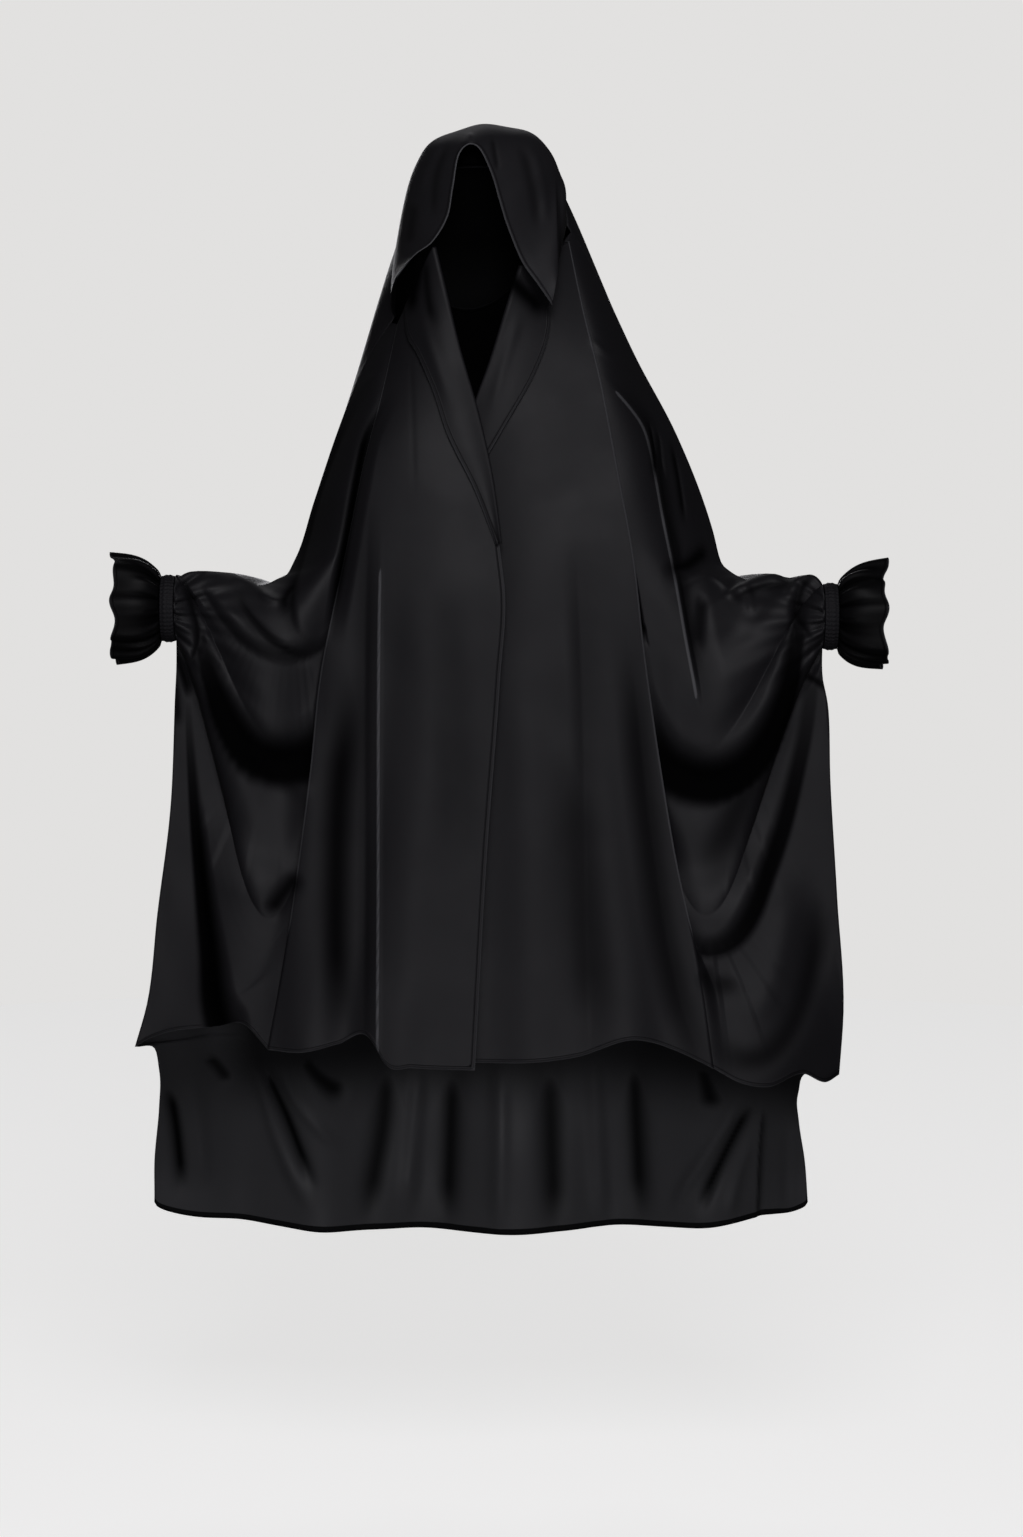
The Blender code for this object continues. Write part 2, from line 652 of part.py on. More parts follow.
def forehead_band(u, v):
    """Inner band: hangs from the inside of the hood and bends round the brow. v runs from its
    seam down."""
    seam = inward(hood, u * BAND_REACH, np.full_like(u, BAND_SEAM), CLOTH / 2 + 2 * GAP)
    angle = u * BAND_TURN
    brow = points(BAND_WIDTH / 2 * np.sin(angle), -BAND_DEPTH * np.cos(angle),
                  -BAND_FOOT - BAND_DROOP * u ** 2)
    return blend(seam, brow, v)


def throat_panel(u, v):
    """Inner panel under the chin, between the two front panels: its top dips in the middle."""
    down = v * THROAT_ROWS
    left = front_panel(LEFT, np.full_like(u, THROAT_SEAT_LEFT), down)
    right = front_panel(RIGHT, np.full_like(u, THROAT_SEAT_RIGHT), down)
    sheet = blend(right, left, (u + 1) / 2)
    middle = 1 - u ** 2
    sheet[..., 1] += CLOTH + 2 * GAP + THROAT_HOLLOW * middle
    sheet[..., 2] -= THROAT_DIP * middle * (1 - THROAT_EVEN * v)
    return sheet


def wrist_elastic(side, u, v):
    """Elastic band: the wrist's oval carried outwards, ribbed by the elastic."""
    angle = 2 * math.pi * u
    swell = 1 + ELASTIC_SWELL * np.sin(math.pi * v)
    return points(side.wrist[0] + side.sign * (GAP + CLOTH / 2 + ELASTIC_WIDTH * v),
                  side.wrist[1] - WRIST_DEPTH / 2 * swell * np.sin(angle),
                  side.wrist[2] + WRIST_HEIGHT / 2 * swell * np.cos(angle))


def cuff_ruffle(side, u, v):
    """Ruffle: the oval flares outwards, with waves that grow towards its free edge."""
    angle = 2 * math.pi * u
    start = 2 * GAP + ELASTIC_WIDTH + CLOTH
    wave = np.cos(RUFFLE_WAVES * angle + RUFFLE_TURN * side.sign)
    flare = 1 + (RUFFLE_FLARE - 1) * v ** RUFFLE_POWER + RUFFLE_WAVE * wave * v
    reach = RUFFLE_LENGTH * v * (1 + RUFFLE_LONGER * np.sin(2 * angle + RUFFLE_SET))
    return points(side.wrist[0] + side.sign * (start + reach),
                  side.wrist[1] - WRIST_DEPTH / 2 * flare * np.sin(angle),
                  side.wrist[2] + WRIST_HEIGHT / 2 * flare * np.cos(angle))


def satin(name):
    """Black satin crepe."""
    material = bpy.data.materials.new(name)
    material.use_nodes = True
    shader = material.node_tree.nodes["Principled BSDF"]
    shader.inputs["Base Color"].default_value = BLACK_SATIN
    shader.inputs["Roughness"].default_value = SATIN_ROUGHNESS
    shader.inputs["Metallic"].default_value = 0.0
    return material


def sheet_object(collection, name, surface, across, along, closed=False):
    """Cloth piece: the surface on a grid of places, made a wall by Solidify."""
    u, v = np.meshgrid(across, along)
    grid = surface(u, v)
    rows, columns = u.shape
    index = np.arange(rows * columns).reshape(rows, columns)
    right = np.roll(index, -1, axis=1) if closed else index[:, 1:]
    left = index if closed else index[:, :-1]
    faces = np.stack((left[:-1], left[1:], right[1:], right[:-1]), axis=-1).reshape(-1, 4)
    mesh = bpy.data.meshes.new(name)
    mesh.from_pydata(grid.reshape(-1, 3).tolist(), [], faces.tolist())
    mesh.shade_smooth()
    mesh.materials.append(satin(name + "_satin"))
    item = bpy.data.objects.new(name, mesh)
    wall = item.modifiers.new("wall", "SOLIDIFY")
    wall.thickness = CLOTH
    wall.offset = 0.0
    collection.objects.link(item)
    return item


def ring_places(count):
    """Places round a closed ring."""
    return np.arange(count) / count


def main():
    for item in list(bpy.data.objects):
        bpy.data.objects.remove(item)
    collection = bpy.data.collections.new("jilbab_top")
    bpy.context.scene.collection.children.link(collection)
    sheet_object(collection, "hood", hood, np.linspace(-1, 1, HOOD_COLUMNS), np.linspace(0, 1, HOOD_ROWS))
    sheet_object(collection, "forehead_band", forehead_band, np.linspace(-1, 1, (HOOD_COLUMNS + 1) // 2),
                 np.linspace(0, 1, BAND_ROWS))
    sheet_object(collection, "throat_panel", throat_panel, np.linspace(-1, 1, THROAT_COLUMNS),
                 np.linspace(0, 1, THROAT_GRID_ROWS))
    wing_rows = np.linspace(0, 1, WING_ROWS)
    tail_rows = np.linspace(CORNER, TAIL_END, TAIL_ROWS + 1)[1:]
    back_rows = np.concatenate(((0.0,), follow(SWAG_ENDS, wing_rows)[:, 0], tail_rows))
    sheet_object(collection, "back_panel", back_panel, np.linspace(-1, 1, BACK_COLUMNS), back_rows)
    panel_across = np.append(np.linspace(0, 1, PANEL_COLUMNS), RETURN_COLUMNS)
    panel_rows = np.linspace(0, 1, PANEL_ROWS + 1)
    lapel_across = np.append(np.linspace(0, LAPEL_ROLL, ROLL_COLUMNS)[:-1],
                             np.linspace(LAPEL_ROLL, 1, LAPEL_COLUMNS))
    for side in (LEFT, RIGHT):
        sheet_object(collection, "front_panel_" + side.name, lambda u, v, s=side: front_panel(s, u, v),
                     panel_across, panel_rows)
        sheet_object(collection, "wing_" + side.name, lambda u, v, s=side: wing(s, u, v),
                     np.linspace(0, 1, WING_COLUMNS), wing_rows)
        foot = side.lapel_rows[-1][0]
        lapel_rows = np.append(panel_rows[panel_rows < foot], foot)
        sheet_object(collection, "lapel_" + side.name, lambda u, v, s=side: lapel(s, u, v),
                     lapel_across, lapel_rows)
        sheet_object(collection, "wrist_elastic_" + side.name, lambda u, v, s=side: wrist_elastic(s, u, v),
                     ring_places(ELASTIC_COLUMNS), np.linspace(0, 1, ELASTIC_ROWS), closed=True)
        sheet_object(collection, "cuff_ruffle_" + side.name, lambda u, v, s=side: cuff_ruffle(s, u, v),
                     ring_places(RUFFLE_COLUMNS), np.linspace(0, 1, RUFFLE_ROWS), closed=True)


main()
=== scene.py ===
"""Jilbab top as worn, in its photograph's view: every sheet of cloth drawn finely over the
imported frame.

Metres, +Z up. The wearer faces -Y, so the wearer's left is +X. The origin is the crown seat.
"""
import math
from dataclasses import dataclass
from functools import partial

import bpy
import numpy as np
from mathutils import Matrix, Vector


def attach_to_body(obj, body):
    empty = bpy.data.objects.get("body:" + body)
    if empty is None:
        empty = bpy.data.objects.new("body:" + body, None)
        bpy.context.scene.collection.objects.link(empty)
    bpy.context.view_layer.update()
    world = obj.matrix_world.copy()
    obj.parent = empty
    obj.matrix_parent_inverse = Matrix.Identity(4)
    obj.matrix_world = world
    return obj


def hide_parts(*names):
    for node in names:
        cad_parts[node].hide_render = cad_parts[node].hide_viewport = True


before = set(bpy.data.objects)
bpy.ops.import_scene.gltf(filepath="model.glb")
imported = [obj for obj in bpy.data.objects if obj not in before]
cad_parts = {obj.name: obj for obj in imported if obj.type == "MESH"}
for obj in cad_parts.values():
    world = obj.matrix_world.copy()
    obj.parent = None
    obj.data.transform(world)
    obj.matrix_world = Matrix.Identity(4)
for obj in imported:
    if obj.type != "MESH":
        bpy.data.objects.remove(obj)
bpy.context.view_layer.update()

# Driving sizes
FRONT_LENGTH = 1.17
BACK_LENGTH = 1.49
WING_LEFT = 0.457
WING_RIGHT = 0.425
HEAD_WIDTH = 0.228
FRONT_STAND = 0.20
BACK_STAND = 0.20
LAPEL_LIFT = 0.007
PANEL_RETURN = 0.012
PANEL_TUCK = 0.009
WRIST_HEIGHT = 0.078
WRIST_DEPTH = 0.062
ELASTIC_WIDTH = 0.017
RUFFLE_LENGTH = 0.062
RUFFLE_FLARE = 1.62
BAND_WIDTH = 0.132
BAND_DEPTH = 0.094
BAND_FOOT = 0.064
BAND_DROOP = 0.006
BAND_TURN = math.radians(80)
THROAT_DIP = 0.045
THROAT_HOLLOW = 0.022
CLOTH = 0.0012
GAP = 0.0003
EDGE_APART = CLOTH
SHEETS_APART = CLOTH + 4 * GAP
CROWN_SEAT = 3 * GAP
HEAD_CENTRE = (0.0, 0.0, -HEAD_WIDTH)

# Side edge of each half, from the hood's kink over shoulder and arm to the wrist, then
# down to the front corner: place, across (wing), forward (front stand), down (front length)
EDGE_LEFT = (
    (0, 0.239, 0.1, 0.109), (0.09, 0.333, 0.07, 0.172), (0.19, 0.438, 0.05, 0.256),
    (0.28, 0.547, 0.07, 0.336), (0.38, 0.646, 0.14, 0.438), (0.41, 0.668, 0.28, 0.474),
    (0.46, 0.735, 0.4, 0.487), (0.52, 0.829, 0.47, 0.486), (0.6, 0.934, 0.6, 0.491),
    (0.66, 0.934, 0.6, 0.564), (0.7, 0.934, 0.61, 0.59), (0.74, 0.95, 0.62, 0.622),
    (0.81, 0.958, 0.64, 0.703), (0.91, 0.98, 0.65, 0.832), (0.97, 1, 0.65, 0.954),
    (1, 0.99, 0.65, 1.02),
)
EDGE_RIGHT = (
    (0, 0.254, 0.05, 0.208), (0.09, 0.339, 0.05, 0.256), (0.19, 0.421, 0.05, 0.327),
    (0.28, 0.494, 0.09, 0.405), (0.38, 0.553, 0.15, 0.47), (0.41, 0.576, 0.32, 0.487),
    (0.46, 0.655, 0.45, 0.493), (0.52, 0.754, 0.5, 0.486), (0.6, 0.887, 0.6, 0.486),
    (0.66, 0.887, 0.6, 0.552), (0.7, 0.887, 0.61, 0.58), (0.74, 0.892, 0.62, 0.615),
    (0.81, 0.905, 0.64, 0.72), (0.91, 0.95, 0.65, 0.848), (0.97, 0.984, 0.65, 0.945),
    (1, 1.02, 0.65, 0.99),
)
# Fold where the front panel ends and the wing begins: down, across, forward
FOLD_LEFT = (
    (0.129, 0.245, 0.22), (0.203, 0.284, 0.37), (0.272, 0.326, 0.52), (0.373, 0.374, 0.7),
    (0.46, 0.414, 0.82), (0.554, 0.442, 0.87), (0.68, 0.488, 0.92), (0.782, 0.532, 0.95),
    (0.885, 0.589, 0.97), (1.003, 0.635, 0.99),
)
FOLD_RIGHT = (
    (0.215, 0.24, 0.28), (0.295, 0.287, 0.5), (0.362, 0.334, 0.68), (0.437, 0.376, 0.77),
    (0.521, 0.424, 0.82), (0.587, 0.459, 0.85), (0.689, 0.489, 0.9), (0.774, 0.52, 0.92),
    (0.868, 0.558, 0.95), (0.983, 0.616, 0.97),
)
# Front edge of each panel, the roll of the lapel and then the opening: down, across, forward.
# Across is positive towards the panel's own side.
OPENING_LEFT = (
    (0.157, 0.118, 0.5), (0.197, 0.085, 0.55), (0.259, 0.035, 0.58), (0.309, -0.011, 0.6),
    (0.368, -0.045, 0.63), (0.479, -0.05, 0.76), (0.684, -0.06, 0.9), (0.996, -0.1, 0.95),
)
OPENING_RIGHT = (
    (0.138, 0.136, 0.5), (0.185, 0.104, 0.55), (0.244, 0.064, 0.61), (0.309, 0.012, 0.69),
    (0.367, -0.026, 0.77), (0.463, -0.064, 0.9), (0.497, -0.075, 0.95), (0.591, -0.061, 1.01),
    (0.769, -0.024, 1.05), (1.001, 0.012, 1.09),
)
# Outer hem of each lapel on its own panel: place down the panel, reach across the panel
LAPEL_LEFT = (
    (0, 0.5), (0.045, 0.56), (0.09, 0.59), (0.145, 0.455), (0.204, 0.27), (0.25, 0.14),
    (0.29, 0.03),
)
LAPEL_RIGHT = (
    (0, 0.8), (0.052, 0.67), (0.09, 0.5), (0.14, 0.355), (0.212, 0.257), (0.287, 0.12),
    (0.36, 0.02),
)
# Bottom hem of each panel and wing: place across, drop below the straight hem (front length)
HEM_PANEL_LEFT = (
    (0, 0), (0.3, -0.003), (0.5, -0.011), (0.71, -0.031), (0.85, -0.02), (1, 0),
)
HEM_PANEL_RIGHT = (
    (0, 0), (0.3, 0.002), (0.43, 0), (0.5, -0.024), (0.66, -0.014), (0.85, -0.002), (1, 0),
)
HEM_WING_LEFT = (
    (0, 0), (0.2, 0.012), (0.42, 0.014), (0.7, -0.001), (0.9, 0.008), (1, 0),
)
HEM_WING_RIGHT = (
    (0, 0), (0.16, -0.026), (0.4, -0.02), (0.8, -0.013), (0.93, -0.006), (1, 0),
)
# Long folds of the panels: place across, half width (place), rise (front stand), start down
FOLDS_PANEL_LEFT = (
    (0.34, 0.12, 0.03, 0.3), (0.66, 0.12, 0.04, 0.45), (0.82, 0.08, -0.02, 0.35),
)
FOLDS_PANEL_RIGHT = (
    (0.38, 0.12, 0.03, 0.35), (0.62, 0.09, -0.03, 0.35), (0.8, 0.1, 0.03, 0.45),
)
# Where the swags of a wing end on the side edge: place down the wing, place on the edge
SWAG_ENDS = (
    (0, 0.012), (0.1, 0.12), (0.2, 0.27), (0.28, 0.38), (0.35, 0.46), (0.43, 0.56), (0.51, 0.6),
    (0.6, 0.63), (0.7, 0.66), (0.82, 0.76), (0.92, 0.9), (1, 1),
)
# Swags of each wing: place down the wing, start on the fold (down), sag (front length),
# lean (0.5 is even), swell (front stand, + forward)
SWAGS_LEFT = (
    (0, 0.133, 0, 0.5, 0), (0.1, 0.23, 0, 0.5, 0.02), (0.2, 0.33, 0, 0.5, 0.03),
    (0.28, 0.41, 0.004, 0.5, 0.03), (0.35, 0.465, 0.03, 0.45, 0.08),
    (0.43, 0.52, 0.095, 0.42, 0.13), (0.51, 0.58, 0.12, 0.38, 0.09), (0.6, 0.66, 0.15, 0.36, 0.09),
    (0.7, 0.745, 0.155, 0.36, 0.1), (0.82, 0.848, 0.11, 0.38, 0.1), (0.92, 0.935, 0.05, 0.42, 0.08),
    (1, 1.003, 0, 0.5, 0.06),
)
SWAGS_RIGHT = (
    (0, 0.219, 0, 0.5, 0), (0.1, 0.3, 0, 0.5, 0.02), (0.2, 0.37, 0, 0.5, 0.03),
    (0.28, 0.425, 0.004, 0.5, 0.03), (0.35, 0.465, 0.02, 0.45, 0.12),
    (0.43, 0.52, 0.075, 0.4, 0.21), (0.51, 0.59, 0.105, 0.38, 0.16), (0.6, 0.68, 0.145, 0.36, 0.1),
    (0.7, 0.765, 0.155, 0.4, 0.1), (0.82, 0.86, 0.12, 0.47, 0.1), (0.92, 0.93, 0.05, 0.5, 0.08),
    (1, 0.983, 0, 0.5, 0.06),
)
# Falls of each wing: beyond its rim the cloth drops back into the dark of a swag. Rim across
# (wing), rim down (front length), width of the drop (front length), depth (front stand)
FALLS_LEFT = (
    ((0.459, 0.56, 0.045, 0.3), (0.481, 0.602, 0.05, 0.34), (0.518, 0.631, 0.054, 0.36),
     (0.571, 0.65, 0.06, 0.36), (0.63, 0.656, 0.062, 0.36), (0.688, 0.648, 0.052, 0.33),
     (0.741, 0.627, 0.039, 0.28), (0.788, 0.589, 0.029, 0.22), (0.819, 0.552, 0.021, 0.16),
     (0.845, 0.523, 0.015, 0.09), (0.87, 0.496, 0.01, 0)),
    ((0.56, 0.846, 0.028, 0), (0.628, 0.856, 0.03, 0.1), (0.681, 0.84, 0.03, 0.15),
     (0.734, 0.798, 0.027, 0.17), (0.786, 0.748, 0.024, 0.18), (0.827, 0.693, 0.021, 0.16),
     (0.858, 0.639, 0.019, 0.12), (0.878, 0.589, 0.016, 0.06), (0.888, 0.556, 0.012, 0)),
)
FALLS_RIGHT = (
    ((0.459, 0.543, 0.017, 0.05), (0.527, 0.547, 0.025, 0.09), (0.584, 0.546, 0.025, 0.09),
     (0.652, 0.538, 0.021, 0.08), (0.72, 0.521, 0.014, 0.05), (0.771, 0.503, 0.009, 0.03),
     (0.804, 0.49, 0.006, 0)),
    ((0.477, 0.618, 0.045, 0.24), (0.529, 0.631, 0.062, 0.32), (0.597, 0.633, 0.062, 0.32),
     (0.66, 0.618, 0.045, 0.27), (0.722, 0.589, 0.029, 0.2), (0.766, 0.56, 0.019, 0.14),
     (0.798, 0.536, 0.012, 0.07), (0.822, 0.511, 0.008, 0)),
    ((0.651, 0.988, 0.045, 0.3), (0.696, 0.937, 0.041, 0.3), (0.729, 0.882, 0.032, 0.28),
     (0.765, 0.819, 0.024, 0.25), (0.797, 0.756, 0.017, 0.2), (0.82, 0.693, 0.012, 0.15),
     (0.837, 0.639, 0.008, 0.08), (0.845, 0.602, 0.005, 0)),
)
# Hood: front hem and widest outline from the right foot over the crown to the left foot:
# place, across (head width), forward (front stand), down (head width)
HOOD_HEM = (
    (0, -0.447, 0.56, 0.868), (0.08, -0.346, 0.6, 0.754), (0.15, -0.25, 0.6, 0.684),
    (0.22, -0.172, 0.59, 0.56), (0.3, -0.14, 0.58, 0.4), (0.4, -0.105, 0.56, 0.215),
    (0.48, -0.048, 0.55, 0.162), (0.54, 0, 0.55, 0.185), (0.62, 0.066, 0.57, 0.32),
    (0.7, 0.105, 0.58, 0.45), (0.79, 0.155, 0.6, 0.61), (0.87, 0.237, 0.62, 0.803),
    (0.93, 0.31, 0.63, 0.905), (1, 0.395, 0.62, 1.026),
)
HOOD_OUTLINE = (
    (0, -0.487, 0.32, 0.985), (0.1, -0.462, 0.28, 0.8), (0.2, -0.4, 0.25, 0.49),
    (0.29, -0.342, 0.25, 0.27), (0.36, -0.275, 0.25, 0.15), (0.43, -0.15, 0.25, 0.085),
    (0.5, 0.013, 0.25, 0.04), (0.57, 0.19, 0.25, 0.07), (0.64, 0.3, 0.25, 0.118),
    (0.71, 0.378, 0.25, 0.22), (0.8, 0.425, 0.26, 0.37), (0.88, 0.45, 0.32, 0.48),
    (0.94, 0.446, 0.42, 0.63), (1, 0.434, 0.52, 0.81),
)
# Spine of the back: side-edge place, behind (back stand), down (back length), roundness
SPINE = (
    (0, 0.05, 0.003, 1), (0.05, 0.44, 0.03, 0.95), (0.1, 0.56, 0.075, 0.85),
    (0.17, 0.5, 0.14, 0.65), (0.26, 0.6, 0.21, 0.4), (0.38, 0.76, 0.31, 0.25),
    (0.6, 0.84, 0.44, 0.2), (0.75, 0.86, 0.56, 0.2), (0.9, 0.92, 0.7, 0.2), (1, 1, 0.8, 0.2),
    (1.12, 1.1, 0.9, 0.2), (1.25, 1.22, 1, 0.2),
)
# Free side edge of the back below the front corner: place, across on the left and on the
# right (own wing), behind (back stand), down (back length). Just below the corner these rows,
# and above it the end of the left wing's hem, follow the photograph closer than the solids do
TAIL = (
    (1, 0.99, 1.01, -0.65, 0.796), (1.03, 0.905, 0.965, -0.48, 0.8),
    (1.06, 0.9, 0.97, -0.12, 0.827), (1.12, 0.926, 1.006, 0.45, 0.872),
    (1.18, 0.96, 1.045, 0.82, 0.92), (1.25, 0.978, 1.06, 1.02, 0.965),
)
# Long folds of the back: across (wing), half width (wing), rise (back stand), start down
FOLDS_BACK = (
    (-0.8, 0.1, 0.14, 0.55), (-0.52, 0.1, -0.12, 0.45), (-0.2, 0.12, 0.12, 0.35),
    (0.1, 0.12, -0.1, 0.35), (0.4, 0.12, 0.14, 0.4), (0.68, 0.09, -0.12, 0.5),
    (0.86, 0.07, 0.1, 0.6),
)
# Sag of the rear of the wings: side-edge place, sag (front length)
BACK_SAG = (
    (0, 0), (0.38, 0), (0.6, 0.07), (0.75, 0.09), (0.9, 0.04), (1, 0), (1.25, 0),
)


def ridge(rise, width, dark, *path):
    """Crease that is a bell across its path: rise and half width in metres (a negative rise is a
    valley), and the share of light that it loses."""
    return rise, width, 0, dark, path


def fall(depth, width, recovery, dark, *path):
    """Crease that drops on the right of its path by its depth over its width, and comes forward
    again over its recovery, all in metres, with the share of light that its hollow loses."""
    return depth, width, recovery, dark, path


# Creases drawn on the front sheets of each half. The path in the front view is
# (across (wing), down (front length))
CREASES_LEFT = (
    # shadow of the hood's hem, the lapel's own edge and its roll
    ridge(0, 0.012, 0.92, (0.057, 0.149), (0.078, 0.168), (0.11, 0.182), (0.151, 0.197),
          (0.186, 0.217)),
    ridge(0.0014, 0.007, 0, (0.11, 0.195), (0.094, 0.226), (0.07, 0.257), (0.046, 0.291),
          (0.029, 0.32)),
    # soft edges down the panel, dark on their outer side
    fall(0.005, 0.022, 0.07, 0.15, (0.262, 1.066), (0.248, 0.947), (0.242, 0.866), (0.236, 0.721),
         (0.227, 0.593), (0.216, 0.488), (0.21, 0.404)),
    fall(0.01, 0.03, 0.05, 0.5, (0.578, 1.055), (0.516, 0.979), (0.48, 0.936), (0.438, 0.86),
         (0.405, 0.775), (0.377, 0.689), (0.357, 0.615), (0.327, 0.53)),
    ridge(0.004, 0.018, 0, (-0.056, 0.785), (-0.051, 0.86), (-0.04, 0.936), (-0.034, 1.034)),
    ridge(-0.003, 0.026, 0.4, (0.338, 0.987), (0.305, 0.907), (0.277, 0.822), (0.261, 0.737),
          (0.25, 0.653)),
    # second fold beside the shoulder, dark on its outer side
    fall(0.012, 0.007, 0.035, 0.6, (0.593, 0.638), (0.582, 0.602), (0.554, 0.544), (0.526, 0.481),
         (0.498, 0.425), (0.479, 0.382), (0.462, 0.347), (0.438, 0.322), (0.381, 0.294),
         (0.314, 0.268)),
    ridge(0.003, 0.004, 0, (0.292, 0.233), (0.325, 0.242), (0.373, 0.255), (0.432, 0.268)),
    # dark slits of the upper arm
    ridge(-0.008, 0.004, 0.9, (0.459, 0.315), (0.47, 0.334), (0.476, 0.357), (0.479, 0.388)),
    ridge(-0.005, 0.003, 0.7, (0.484, 0.325), (0.492, 0.341), (0.498, 0.365), (0.506, 0.385)),
    ridge(-0.006, 0.004, 0.8, (0.524, 0.336), (0.535, 0.357), (0.552, 0.397), (0.563, 0.435)),
    ridge(0.004, 0.004, 0, (0.498, 0.412), (0.512, 0.433), (0.531, 0.454), (0.539, 0.477)),
    ridge(-0.01, 0.01, 0.9, (0.499, 0.469), (0.531, 0.475), (0.569, 0.473), (0.601, 0.465),
          (0.644, 0.454)),
    # wrinkles at the bend of the arm and along the arm's top
    ridge(0.0055, 0.005, 0, (0.52, 0.505), (0.537, 0.498), (0.58, 0.487), (0.627, 0.484),
          (0.666, 0.493), (0.688, 0.506), (0.72, 0.514)),
    ridge(-0.006, 0.006, 0.7, (0.607, 0.5), (0.603, 0.511), (0.596, 0.531), (0.591, 0.552),
          (0.588, 0.566)),
    fall(0.006, 0.007, 0.02, 0.5, (0.67, 0.503), (0.696, 0.503), (0.738, 0.495), (0.802, 0.489),
         (0.87, 0.487)),
    ridge(0.004, 0.005, 0, (0.7, 0.487), (0.73, 0.5), (0.738, 0.516), (0.735, 0.53)),
    # shallow hollow between the two deep falls
    ridge(-0.006, 0.02, 0.5, (0.835, 0.59), (0.805, 0.639), (0.753, 0.689), (0.711, 0.727),
          (0.669, 0.765), (0.638, 0.794), (0.61, 0.82)),
    # last swag before the corner, dark at its foot
    ridge(-0.006, 0.015, 0.55, (0.612, 0.959), (0.661, 0.983), (0.732, 0.996), (0.806, 0.987),
          (0.873, 0.95), (0.921, 0.89), (0.946, 0.815)),
    ridge(0.004, 0.02, 0, (0.66, 0.933), (0.723, 0.944), (0.777, 0.933), (0.817, 0.89),
          (0.856, 0.815)),
    # cusp where the panel's fold ends
    ridge(-0.003, 0.013, 0.5, (0.6, 0.895), (0.613, 0.904), (0.64, 0.916), (0.67, 0.916),
          (0.69, 0.905)),
    # pleats and darts beside the wrist
    fall(0.006, 0.007, 0.012, 0.6, (0.935, 0.48), (0.92, 0.486), (0.886, 0.503), (0.876, 0.523),
         (0.903, 0.542), (0.92, 0.552)),
    ridge(-0.005, 0.005, 0.8, (0.88, 0.588), (0.894, 0.591), (0.918, 0.596), (0.942, 0.602),
          (0.955, 0.607)),
    ridge(-0.004, 0.006, 0.7, (0.885, 0.485), (0.872, 0.505), (0.862, 0.53), (0.858, 0.555),
          (0.855, 0.575)),
    ridge(0.003, 0.005, 0, (0.925, 0.548), (0.915, 0.56), (0.907, 0.58), (0.9, 0.605)),
)
